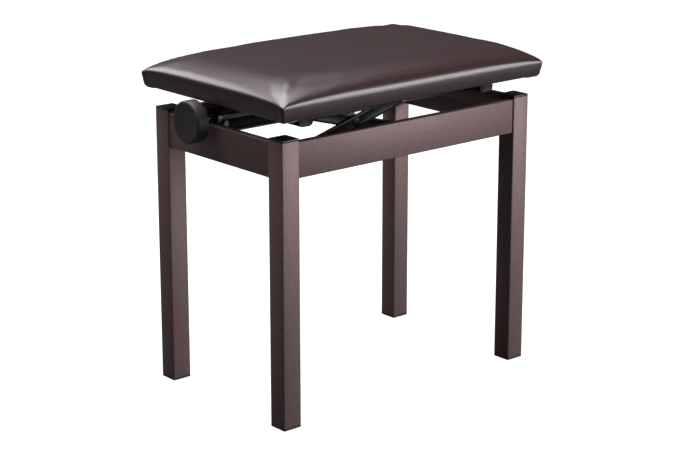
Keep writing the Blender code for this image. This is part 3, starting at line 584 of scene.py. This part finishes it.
def turned(profile, steps=64):
    """A mesh turned on local Z from (radius, height) points. A radius of 0 closes it."""
    rings = [[(r * math.cos(a), r * math.sin(a), z) for a in circle(steps)] for r, z in profile]
    work = skin(rings, closed_ends=False)
    bmesh.ops.remove_doubles(work, verts=work.verts, dist=0.001 * MM)
    return work


def block(size, rounding):
    """A box about the origin with rounded edges."""
    work = bmesh.new()
    bmesh.ops.create_cube(work, size=1)
    bmesh.ops.scale(work, vec=size, verts=work.verts)
    bmesh.ops.bevel(work, geom=work.edges, offset=rounding, segments=2, affect="EDGES")
    return work


def merge(work, made):
    """Adds one bmesh to another."""
    mesh = bpy.data.meshes.new("part")
    made.to_mesh(mesh)
    made.free()
    work.from_mesh(mesh)
    bpy.data.meshes.remove(mesh)


def piece_of(name, work, finish, body, replaces=()):
    """A finished piece from a bmesh, riding on a body."""
    bmesh.ops.recalc_face_normals(work, faces=work.faces)
    mesh = bpy.data.meshes.new(name)
    work.to_mesh(mesh)
    work.free()
    mesh.materials.append(finish)
    smooth(mesh)
    made = bpy.data.objects.new(name, mesh)
    scene.collection.objects.link(made)
    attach(made, body)
    if replaces:
        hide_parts(*replaces)
    return made


def middle_of(node):
    low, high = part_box(node)
    return (low + high) / 2


def body_of(node):
    return frame["nodes"][node]["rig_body"]


def rounded(centre, radius, start, end, steps=6):
    """Points of an arc in a profile, with its angles in degrees."""
    angles = [math.radians(start + (end - start) * step / steps) for step in range(steps + 1)]
    return [(centre[0] + radius * math.cos(a), centre[1] + radius * math.sin(a)) for a in angles]


TO_MINUS_X = (0, -math.pi / 2, 0)  # turns local Z to -X


def put(work, at, turn=(0, 0, 0)):
    """Moves a bmesh that was made on the origin to its place."""
    matrix = Euler(turn).to_matrix().to_4x4()
    matrix.translation = Vector(at)
    bmesh.ops.transform(work, matrix=matrix, verts=work.verts)
    return work


print("helpers for new pieces are ready")

# %% [markdown]
# ## The knob
# A moulded knob is a shell: a dished face and a rim, with a hub and ribs inside that keep it stiff.
# The face could be a flat disc, but a real one sinks by half a millimetre so that it looks flat.
# The outside and the inside are one turned profile. The ribs are thin plates joined to it.


# %% Knob
def make_knob():
    """The shell, and the sizes that its ribs need."""
    low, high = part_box("knob")
    centre = middle_of("knob")
    radius, depth = (high.y - low.y) / 2, high.x - low.x
    wall, hub, bore = 2.6 * MM, 11.0 * MM, 4.3 * MM
    rim_back, edge = 1.5 * MM, 3.4 * MM
    recess = rim_back + 11.0 * MM
    # Heights run from the hub's back at 0 towards the face.
    profile = [(bore, 0), (hub - 0.5 * MM, 0), (hub, 0.5 * MM), (hub, recess)]
    profile += [(radius - wall, recess), (radius - wall, rim_back + 0.4 * MM)]
    profile += rounded((radius - wall / 2, rim_back + wall / 2), wall / 2, 200, 360)
    profile += rounded((radius - edge, depth - edge), edge, 0, 90, 10)
    profile += [(radius - edge - 1.2 * MM, depth - 0.05 * MM), (radius - edge - 3 * MM, depth - 0.35 * MM)]
    profile += [(0.4 * radius, depth - 0.6 * MM), (0, depth - 0.62 * MM), (0, 15 * MM), (bore, 15 * MM)]
    profile.append(profile[0])
    work = put(turned(profile, 128), (high.x, centre.y, centre.z), TO_MINUS_X)
    piece_of("knob_shell", work, KNOB_PLASTIC, "drive", ["knob"])
    return radius, hub, wall, high.x - rim_back


knob_radius, hub_radius, rim_wall, rim_x = make_knob()


def make_knob_ribs():
    """Six ribs between hub and rim, one body with rounded back edges."""
    centre = middle_of("knob")
    work = bmesh.new()
    inner, outer = hub_radius - 0.5 * MM, knob_radius - rim_wall / 2
    for number in range(6):
        rib = block((9.5 * MM, outer - inner, 1.6 * MM), 0.4 * MM)
        bmesh.ops.translate(rib, vec=(rim_x - 6.5 * MM, (outer + inner) / 2, 0), verts=rib.verts)
        put(rib, (0, 0, 0), (number * math.pi / 3, 0, 0))
        merge(work, put(rib, (0, centre.y, centre.z)))
    return piece_of("knob_ribs", work, KNOB_PLASTIC, "drive")


make_knob_ribs()
print("knob:", round(2 * knob_radius / MM, 1), "mm across")

# %% [markdown]
# ## The lead screw
# The screw lifts the seat, so its thread is what a person notices on looking underneath.
# A Screw modifier could wind a profile, but then the plain journal and the thread would be two bodies.
# Here one skin of rings is used: round the journal the rings are plain, and along the thread each point's
# radius comes from how far it lies along the helix.


# %% Lead screw
def thread_radius(along, turn, pitch, root, crest):
    """The radius of a trapezoidal thread at a distance along its axis and an angle round it."""
    phase = (along / pitch - turn / (2 * math.pi)) % 1.0
    flank = min(1.0, max(0.0, (abs(phase - 0.5) * 2 - 0.36) / 0.28))
    return crest + (root - crest) * flank


def make_lead_screw():
    low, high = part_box("lead_screw")
    centre = middle_of("lead_screw")
    crest = (high.y - low.y) / 2
    pitch, root, journal = 3 * MM, crest - 1.25 * MM, crest - 1.05 * MM
    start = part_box("thrust_collar")[1].x + 0.6 * MM
    end = high.x
    turns, per_turn = circle(24), 10
    stations = [(low.x, journal - 0.5 * MM), (low.x + 0.5 * MM, journal), (start - 0.3 * MM, journal)]
    rings = [[(x, r * math.cos(a), r * math.sin(a)) for a in turns] for x, r in stations]
    count = round((end - start) / pitch * per_turn)
    for step in range(count + 1):
        x = start + (end - start) * step / count
        taper = min(1.0, (end - x) / (1.5 * MM), (x - start) / (1.0 * MM))
        ring = []
        for a in turns:
            full = thread_radius(x - start, a, pitch, root, crest)
            r = root - 0.3 * MM * (1 - taper) + (full - root) * taper
            ring.append((x, r * math.cos(a), r * math.sin(a)))
        rings.append(ring)
    work = put(skin(rings), (0, centre.y, centre.z))
    return piece_of("threaded_screw", work, ZINC, "drive", ["lead_screw"])


screw = make_lead_screw()
print("screw:", len(screw.data.polygons), "faces")

# %% [markdown]
# ## Push-on clips
# Each shaft is kept in by a spring steel clip, pushed over its end. Inside its ring are bent teeth, which
# bite. It could be a plain washer from far off. Close up, the slots between the teeth tell it apart,
# so the ring is a polar grid with faces left out for the slots, given its thickness by Solidify.


# %% Clips
def make_clip(node):
    low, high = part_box(node)
    centre = middle_of(node)
    rim = (high.x - low.x) / 2
    shaft = 5.05 * MM
    sheet = 0.5 * MM
    # The teeth point at the shaft's near end, so that they bite when it is pulled back.
    outward = 1 if centre.y > middle_of(node.removesuffix("_clip")).y else -1
    flat = centre.y - outward * 0.2 * MM
    # Radius and lift of each ring, from the rim to the teeth's tips.
    rings = [(rim, 0.0), (rim - 0.4 * MM, 0.15 * MM), (rim - 1.2 * MM, 0.15 * MM), (rim - 1.8 * MM, 0.0)]
    rings += [(shaft + 0.9 * MM, 0.2 * MM), (shaft, 0.9 * MM)]
    steps, slot_every = 60, 10
    work = bmesh.new()
    rows = []
    for radius, lift in rings:
        points = [(radius * math.cos(a), outward * lift, radius * math.sin(a)) for a in circle(steps)]
        rows.append([work.verts.new(point) for point in points])
    for index, (row, following) in enumerate(zip(rows, rows[1:])):
        for step in range(steps):
            if index >= 3 and step % slot_every == 0:
                continue
            after = (step + 1) % steps
            work.faces.new((row[step], row[after], following[after], following[step]))
    put(work, (centre.x, flat, centre.z))
    clip = piece_of(node + "_toothed", work, BLACK_ENAMEL, body_of(node), [node])
    thick = clip.modifiers.new("thickness", "SOLIDIFY")
    thick.thickness = sheet
    thick.offset = 0
    return clip


clips = [make_clip(node) for node in sorted(frame["nodes"]) if node.endswith("_clip")]
print("clips:", len(clips))

# %% [markdown]
# ## Seat screws
# Four pan-head screws hold the seat's steel to its board. Their cross recess is cut by a Boolean:
# two thin wedges make a cross, and the domed head loses that shape.


# %% Seat screws
def apply_modifiers(piece):
    """The piece keeps the shape that its modifiers gave it, and loses the modifiers."""
    graph = bpy.context.evaluated_depsgraph_get()
    mesh = bpy.data.meshes.new_from_object(piece.evaluated_get(graph), depsgraph=graph)
    piece.modifiers.clear()
    piece.data = mesh
    return piece


def cross_cutter(at, depth):
    work = bmesh.new()
    for long, wide in ((5.0 * MM, 1.0 * MM), (1.0 * MM, 5.0 * MM)):
        made = bmesh.ops.create_cube(work, size=1)
        bmesh.ops.scale(work, vec=(long, wide, 2 * depth), verts=made["verts"])
        deep = [corner for corner in made["verts"] if corner.co.z > 0]
        bmesh.ops.scale(work, vec=(0.45, 0.45, 1), verts=deep)
    put(work, at)
    mesh = bpy.data.meshes.new("cross")
    work.to_mesh(mesh)
    work.free()
    cutter = bpy.data.objects.new("cross", mesh)
    scene.collection.objects.link(cutter)
    return cutter


def make_seat_screw(node):
    low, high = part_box(node)
    centre = middle_of(node)
    head, tall = (high.x - low.x) / 2, 2.8 * MM
    shank = 2.4 * MM
    dome = rounded((head - 1.9 * MM, 1.9 * MM), 1.9 * MM, 270, 360, 8)
    profile = [(0, 0), (head - 3.4 * MM, 0.02 * MM), *dome]
    profile += [(head, tall - 0.15 * MM), (head - 0.15 * MM, tall)]
    profile += [(shank, tall), (shank, high.z - low.z - 1.5 * MM), (0, high.z - low.z)]
    work = put(turned(profile, 40), (centre.x, centre.y, low.z))
    made = piece_of(node + "_cross_head", work, ZINC, "seat", [node])
    cutter = cross_cutter((centre.x, centre.y, low.z), 1.7 * MM)
    cut = made.modifiers.new("recess", "BOOLEAN")
    cut.object = cutter
    cut.use_self = True
    apply_modifiers(made)
    bpy.data.objects.remove(cutter)
    smooth(made.data)
    return made


seat_screws = [make_seat_screw(node) for node in sorted(frame["nodes"]) if node.startswith("seat_screw_")]
print("seat screws:", len(seat_screws))

# %% [markdown]
# ## Weld beads
# The rails are welded to the legs on the inside, where it doesn't show, and the outside is ground flush.
# A bead is a row of overlapping puddles. It could be a string of spheres, but one skin whose radius
# rises and falls along the bead looks the same and stays one clean body.


# %% Welds
def bead(work, start, end, radius):
    """A rippled bead between two points, tapered at both ends, added to a bmesh."""
    start, end = Vector(start), Vector(end)
    along = (end - start).normalized()
    side = along.orthogonal().normalized()
    other = along.cross(side)
    length = (end - start).length
    count = max(8, round(length / (0.5 * MM)))
    ripple = 1.9 * MM
    rings = []
    for step in range(count + 1):
        share = step / count
        taper = min(1.0, math.sqrt(max(0.0, min(share, 1 - share)) * length / radius) + 0.15)
        wave = 1 + 0.13 * abs(math.sin(math.pi * share * length / ripple))
        r = radius * taper * wave
        middle = start + along * (length * share)
        rings.append([middle + side * (r * math.cos(a)) + other * (r * math.sin(a)) for a in circle(12)])
    merge(work, skin(rings))


def make_frame_welds():
    """Two beads at each end of each rail: one up the inside corner and one across underneath."""
    work = bmesh.new()
    radius = 1.7 * MM
    for rail, across, lengthwise in (("front", 1, 0), ("back", 1, 0), ("left", 0, 1), ("right", 0, 1)):
        low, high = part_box(rail + "_rail")
        middle = middle_of(rail + "_rail")
        centre = middle_of("seat_board")
        inside = low[across] if middle[across] > centre[across] else high[across]
        outside = high[across] if middle[across] > centre[across] else low[across]
        for end in (low[lengthwise], high[lengthwise]):
            ends = []
            for height in (low.z + 3 * MM, high.z - 4 * MM):
                point = Vector((0, 0, height))
                point[across], point[lengthwise] = inside, end
                ends.append(point)
            bead(work, *ends, radius)
            under = []
            for place in (inside, outside):
                point = Vector((0, 0, low.z))
                point[across] = place + (middle[across] - place) * 0.2
                point[lengthwise] = end
                under.append(point)
            bead(work, *under, radius)
    return piece_of("frame_welds", work, BROWN_WELD, "frame")


def make_seat_welds():
    """Beads where the seat rails butt against the cross channels."""
    work = bmesh.new()
    for side in ("front", "back"):
        low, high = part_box("seat_rail_" + side)
        inner = max((low.y, high.y), key=lambda y: -abs(y))
        for end in (low.x, high.x):
            bead(work, (end, inner, low.z + 2 * MM), (end, inner, high.z - 2 * MM), 1.4 * MM)
            outer = low.y + high.y - inner
            top = high.z - 2 * MM
            bead(work, (end, inner * 1.06, top), (end, outer * 0.98, top), 1.3 * MM)
    return piece_of("seat_welds", work, BLACK_WELD, "seat")


def make_plate_welds():
    """Beads down both sides of the bearing plate, which fix it to the left rail."""
    work = bmesh.new()
    low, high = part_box("bearing_plate")
    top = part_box("left_rail")[1].z
    for y in (low.y, high.y):
        bead(work, (low.x, y, low.z + 6 * MM), (low.x, y, top - 3 * MM), 1.3 * MM)
    return piece_of("plate_welds", work, BLACK_WELD, "frame")


welds = [make_frame_welds(), make_seat_welds(), make_plate_welds()]
print("weld pieces:", [piece.name for piece in welds])

# %% [markdown]
# ## The cushion's cover
# Foam under vinyl gives the cushion its shape: a short upright side that leans in towards the board, then
# a wide roll up to an almost flat top, and corners that stay lower because the cover is pulled down there.
# It could be a rounded box, but then the roll would be as tight at the middle of a side as at the corners.
# Here a formula gives the height of the top anywhere, and a grid that is finer near the edges samples it.

# %% Cover shape
LOW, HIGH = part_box("cushion")
HALF = Vector(((HIGH.x - LOW.x) / 2, (HIGH.y - LOW.y) / 2))
CENTRE = (LOW + HIGH) / 2
WIDEST = LOW.z + 19.5 * MM  # height of the widest line, where the roll starts
CROWN = 26.0 * MM  # from there to the top
LEAN = 2.7 * MM  # how far the side leans in at its foot
FLATNESS = (8.0, 7.7)  # along X and Y: the larger, the flatter the top
ROUNDNESS = (0.40, 0.48)  # the smaller, the taller the roll
PINCH = (0.3, 30 * MM)  # how much lower the top is at the corners, and how far in that reaches
CORNER = 3.5 * MM
MARGIN = 27 * MM  # how far the cover is folded under


def stations(half, first, growth, widest):
    """Places from -half to half, close together at the ends and `widest` apart in the middle."""
    places, step = [0.0], first
    while places[-1] + step < half:
        places.append(places[-1] + step)
        step = min(step * growth, widest)
    count = len(places)
    inner = [place * half / (places[-1] + step / 2) for place in places]
    left = [place - half for place in inner[:count]]
    return left + [0.0] + [-place for place in reversed(left)]


def crown(x, y):
    """Height of the top above the widest line."""
    along = max(0.0, 1 - abs(x / HALF.x) ** FLATNESS[0]) ** ROUNDNESS[0]
    across = max(0.0, 1 - abs(y / HALF.y) ** FLATNESS[1]) ** ROUNDNESS[1]
    from_corner = HALF.x - abs(x) + HALF.y - abs(y)
    return CROWN * along * across * (1 - PINCH[0] * math.exp(-from_corner / PINCH[1]))


def round_corner(x, y):
    """Pulls the square corner of the outline in to a small round one."""
    a = max(0.0, (abs(x) - HALF.x + CORNER) / CORNER)
    b = max(0.0, (abs(y) - HALF.y + CORNER) / CORNER)
    if a == 0 or b == 0:
        return x, y
    near_x, near_y = HALF.x - CORNER, HALF.y - CORNER
    new_x = near_x + CORNER * a * math.sqrt(1 - b * b / 2)
    new_y = near_y + CORNER * b * math.sqrt(1 - a * a / 2)
    return math.copysign(new_x, x), math.copysign(new_y, y)


XS = stations(HALF.x, 0.6 * MM, 1.14, 4.5 * MM)
YS = stations(HALF.y, 0.6 * MM, 1.09, 4.5 * MM)
# Inset and height of the rows below the widest line: down the side, round the foot, and under the board.
FOOT = LOW.z - 0.6 * MM
SIDE_FOOT = LOW.z + 1.2 * MM
SIDE_ROWS = [(LEAN * (row / 9) ** 1.6, WIDEST + (SIDE_FOOT - WIDEST) * row / 9) for row in range(1, 10)]
FOOT_ROWS = [(LEAN + 0.5 * MM, LOW.z + 0.2 * MM), (LEAN + 1.5 * MM, FOOT + 0.15 * MM)]
UNDER_ROWS = [(LEAN + MARGIN * row / 5 + 1.5 * MM, FOOT) for row in range(1, 6)]
print("cover grid:", len(XS), "by", len(YS))

# %% [markdown]
# ## Building the cover
# The top is one grid. Below it the outline of the grid goes down the side and under the board, ring by
# ring. The mesh stays open in the middle of the underside, as the real cover does.


# %% Cover mesh
def outline_keys():
    """The grid's outer points in order, as pairs of indices."""
    last_x, last_y = len(XS) - 1, len(YS) - 1
    keys = [(i, 0) for i in range(last_x)]
    keys += [(last_x, j) for j in range(last_y)]
    keys += [(i, last_y) for i in range(last_x, 0, -1)]
    keys += [(0, j) for j in range(last_y, 0, -1)]
    return keys


def make_cover_mesh(shrink=0.0):
    """Points, faces and inner edge of the cover. `shrink` lowers the top, so that the foam can swell."""
    points, index = [], {}
    for i, x in enumerate(XS):
        for j, y in enumerate(YS):
            index[i, j] = len(points)
            lift = crown(x, y)
            px, py = round_corner(x, y)
            points.append((px, py, WIDEST + lift * (1 - shrink / CROWN)))
    faces = []
    for i in range(len(XS) - 1):
        for j in range(len(YS) - 1):
            faces.append((index[i, j], index[i + 1, j], index[i + 1, j + 1], index[i, j + 1]))
    keys = outline_keys()
    above = [index[key] for key in keys]
    for inset, height in SIDE_ROWS + FOOT_ROWS + UNDER_ROWS:
        row = []
        for i, j in keys:
            px, py = round_corner(XS[i], YS[j])
            row.append(len(points))
            points.append((px * (1 - inset / HALF.x), py * (1 - inset / HALF.y), height))
        for place in range(len(row)):
            after = (place + 1) % len(row)
            faces.append((above[place], row[place], row[after], above[after]))
        above = row
    points = np.array(points) + (CENTRE.x, CENTRE.y, 0)
    return points, faces, above


points, faces, inner_edge = make_cover_mesh()
print("cover:", len(points), "points,", len(faces), "faces")

# %% [markdown]
# ## Swelling the foam
# Foam pushes its cover out until the cover's own tension stops it. A cloth simulation finds that shape.
# The cover's fine grid would make it slow and uneven, so a plain closed copy is remeshed into even cells,
# filled with pressure and let go for twenty frames, held at the foot where it is stapled.
# What is kept is how far each point of the top rose. The fine cover reads its own rise from the nearest
# ones. The side is drawn tight over the board's edge, so it keeps its shape.

# %% Swell
SHRINK = 1.6 * MM
MOST_SWELL = 3.0 * MM
VOXEL = 6 * MM
FRAMES = 20


def closed_body(points, faces):
    """An object of the cover with its underside filled."""
    mesh = bpy.data.meshes.new("foam")
    mesh.from_pydata(points.tolist(), [], faces + [tuple(reversed(inner_edge))])
    foam = bpy.data.objects.new("foam", mesh)
    scene.collection.objects.link(foam)
    even = foam.modifiers.new("even", "REMESH")
    even.mode = "VOXEL"
    even.voxel_size = VOXEL
    return apply_modifiers(foam)


def places_of(mesh):
    found = np.empty(len(mesh.vertices) * 3)
    mesh.vertices.foreach_get("co", found)
    return found.reshape(-1, 3)


def swell(points, faces):
    """How far each cover point moves when the foam swells."""
    foam = closed_body(points, faces)
    rest = places_of(foam.data)
    held = foam.vertex_groups.new(name="held")
    held.add([i for i, z in enumerate(rest[:, 2]) if z < LOW.z + 6 * MM], 1.0, "REPLACE")
    cloth = foam.modifiers.new("cloth", "CLOTH")
    cloth.settings.quality = 6
    cloth.settings.mass = 0.3
    cloth.settings.use_pressure = True
    cloth.settings.uniform_pressure_force = 4
    cloth.settings.vertex_group_mass = "held"
    cloth.settings.effector_weights.gravity = 0
    cloth.point_cache.frame_start, cloth.point_cache.frame_end = 1, FRAMES
    for number in range(1, FRAMES + 1):
        scene.frame_set(number)
    apply_modifiers(foam)
    moved = places_of(foam.data) - rest
    scene.frame_set(1)
    bpy.data.objects.remove(foam)
    size = np.linalg.norm(moved, axis=1)
    capped = moved * (MOST_SWELL * np.tanh(size / MOST_SWELL) / np.maximum(size, 1e-9))[:, None]
    tree = KDTree(len(rest))
    for number, place in enumerate(rest):
        tree.insert(place, number)
    tree.balance()
    result = np.zeros_like(points)
    for number, place in enumerate(points):
        near = tree.find_n(place, 8)
        weights = np.array([1 / (distance + VOXEL / 3) ** 2 for _, _, distance in near])
        result[number] = weights @ capped[[which for _, which, _ in near]] / weights.sum()
    share = np.clip((points[:, 2] - WIDEST) / (14 * MM), 0, 1)
    rise = share * share * (3 - 2 * share)
    result[:, :2] = 0
    print("foam moved", round(size.mean() / MM, 2), "mm on average,", round(size.max() / MM, 2), "at most")
    return result * rise[:, None]


lower, lower_faces, _ = make_cover_mesh(SHRINK)
points = lower + swell(lower, lower_faces)
print("top of the cushion at", round(points[:, 2].max() / MM, 1), "mm")

# %% [markdown]
# ## Corner folds
# At each corner the cover has more vinyl than it needs, and the spare is folded flat against the short
# side. That leaves a deep crease by the corner and a fainter one where the fold ends.
# The creases run up the side and fade out in the roll, and the top is pulled down a little towards them.


# %% Folds
def groove(distance, middle, width, depth):
    """A smooth groove across a distance."""
    return depth * np.exp(-(((distance - middle) / width) ** 2))


def fold_corners(points):
    """Moves the cover's points into the creases of the four corner folds."""
    local = points - (CENTRE.x, CENTRE.y, 0)
    from_corner = HALF.y - np.abs(local[:, 1])
    from_end = HALF.x - np.abs(local[:, 0])
    height = points[:, 2]
    on_side = np.clip(1 - from_end / (5 * MM), 0, 1) * np.clip((WIDEST + 3 * MM - height) / (5 * MM), 0, 1)
    crease = groove(from_corner, 2.6 * MM, 0.9 * MM, 1.7 * MM)
    crease += groove(from_corner, 11.2 * MM, 1.0 * MM, 0.6 * MM)
    layer = 0.5 * MM * np.clip((12 * MM - from_corner) / (1.5 * MM), 0, 1)
    local[:, 0] -= np.sign(local[:, 0]) * on_side * (crease - layer)
    diagonal = np.abs(from_end - from_corner) / math.sqrt(2)
    inward = (from_end + from_corner) / 2
    pull = groove(diagonal, 0, 3.2 * MM, 1.0 * MM) * np.exp(-inward / (11 * MM))
    local[:, 2] -= pull * (height > WIDEST - 1 * MM)
    return local + (CENTRE.x, CENTRE.y, 0)


def make_cover(points, faces):
    work = bmesh.new()
    corners = [work.verts.new(place) for place in points]
    for face in faces:
        work.faces.new([corners[corner] for corner in face])
    cover = piece_of("cushion_cover", work, LEATHERETTE, "seat", ["cushion"])
    cover.data.shade_smooth()
    vinyl = cover.modifiers.new("vinyl", "SOLIDIFY")
    vinyl.thickness = 0.9 * MM
    vinyl.offset = -1
    return cover


cover = make_cover(fold_corners(points), faces)
print("cover faces:", len(cover.data.polygons))

# %% [markdown]
# ## Under the seat
# The spare vinyl of each corner ends under the board as a flat folded pad, so the cushion's lower edge
# is a little thicker at the corners. A black lining cloth hides the raw edges, held by staples.


# %% Corner pads
def make_corner_pads():
    """Two folded layers at each corner, the upper one cut slanting."""
    work = bmesh.new()
    layer = 0.9 * MM
    shapes = [
        ((1.2, 1.2), (26, 1.2), (21, 17), (1.2, 21)),
        ((2.0, 2.0), (22, 2.0), (2.0, 17)),
    ]
    foot_x, foot_y = HALF.x - LEAN - 1 * MM, HALF.y - LEAN - 1 * MM
    for end in (-1, 1):
        for side in (-1, 1):
            for level, shape in enumerate(shapes):
                top = FOOT - 0.1 * MM - level * layer
                bottom = top - layer + 0.05 * MM
                upper, lower = [], []
                for x, y in shape:
                    at = (CENTRE.x + end * (foot_x - x * MM), CENTRE.y + side * (foot_y - y * MM))
                    upper.append(work.verts.new((*at, top)))
                    lower.append(work.verts.new((*at, bottom)))
                work.faces.new(upper)
                work.faces.new(lower)
                for place in range(len(shape)):
                    after = (place + 1) % len(shape)
                    work.faces.new((upper[place], upper[after], lower[after], lower[place]))
    bmesh.ops.recalc_face_normals(work, faces=work.faces)
    bmesh.ops.bevel(work, geom=work.edges, offset=0.35 * MM, segments=2, affect="EDGES")
    return piece_of("cover_corner_pads", work, LEATHERETTE, "seat")


print("corner pads:", make_corner_pads().name)

# %% [markdown]
# The lining is one sheet. It lies against the board in the middle, and below the folded vinyl at the rim,
# so it dips there. A few slow waves run along the dip between the staples.

# %% Lining
CLOTH_INSET = 9 * MM
CLOTH = 0.35 * MM
STAPLE_EVERY = 36 * MM


def ease(value):
    value = min(1.0, max(0.0, value))
    return value * value * (3 - 2 * value)


def lining_height(x, y):
    """Height of the cloth, from how far a point is inside the cover's edge."""
    inset = min(HALF.x - abs(x), HALF.y - abs(y))
    corner_x = ease((32 * MM - HALF.x + abs(x)) / (8 * MM))
    corner_y = ease((27 * MM - HALF.y + abs(y)) / (8 * MM))
    rim = FOOT - 0.45 * MM - 2.0 * MM * corner_x * corner_y
    flat = LOW.z + 0.1 * MM
    share = ease((inset - 24 * MM) / (12 * MM))
    along = x if HALF.y - abs(y) < HALF.x - abs(x) else y
    wave = 0.12 * MM * math.cos(2 * math.pi * along / STAPLE_EVERY) * (1 - share)
    return rim + (flat - rim) * share + wave


def make_lining_sheet():
    half_x, half_y = HALF.x - CLOTH_INSET, HALF.y - CLOTH_INSET
    columns, rows = 156, 101
    work = bmesh.new()
    grid = []
    for i in range(columns):
        x = -half_x + 2 * half_x * i / (columns - 1)
        ys = [-half_y + 2 * half_y * j / (rows - 1) for j in range(rows)]
        grid.append([work.verts.new((CENTRE.x + x, CENTRE.y + y, lining_height(x, y))) for y in ys])
    for left, right in zip(grid, grid[1:]):
        for j in range(rows - 1):
            work.faces.new((left[j], left[j + 1], right[j + 1], right[j]))
    lining = piece_of("seat_lining", work, LINING, "seat", ["dust_cover"])
    lining.data.shade_smooth()
    thick = lining.modifiers.new("thickness", "SOLIDIFY")
    thick.thickness = CLOTH
    thick.offset = 0
    return lining


lining = make_lining_sheet()
print("lining:", [round(side / MM) for side in lining.dimensions])

# %% [markdown]
# Staples are thin wire with square shoulders. Only the crown shows: a low bar with rounded ends.


# %% Staples
def staple(work, at, turned_along_y):
    """The crown of one staple, added to a bmesh."""
    made = block((10 * MM, 1.0 * MM, 0.55 * MM), 0.2 * MM)
    merge(work, put(made, at, (0, 0, math.pi / 2 if turned_along_y else 0)))


def make_staples():
    work = bmesh.new()
    inset = CLOTH_INSET + 5 * MM
    count = 0
    for half, other, along_y in ((HALF.x, HALF.y, False), (HALF.y, HALF.x, True)):
        reach = half - 20 * MM
        number = round(2 * reach / STAPLE_EVERY)
        for step in range(number + 1):
            along = -reach + 2 * reach * step / number
            for side in (-1, 1):
                across = side * (other - inset)
                x, y = (across, along) if along_y else (along, across)
                z = lining_height(x, y) - CLOTH / 2 - 0.25 * MM
                staple(work, (CENTRE.x + x, CENTRE.y + y, z), along_y)
                count += 1
    print("staples:", count)
    return piece_of("lining_staples", work, ZINC, "seat")


make_staples()

# %% [markdown]
# ## Finishing
# The last cell prints the size of the imported model and of the finished one, so that they can be compared.

# %% Sizes and finish
visual_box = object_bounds()
for name, box in (("packed", CAD_BOX), ("finished", visual_box)):
    print(name, "from", [round(v / MM, 1) for v in box[0]], "to", [round(v / MM, 1) for v in box[1]])
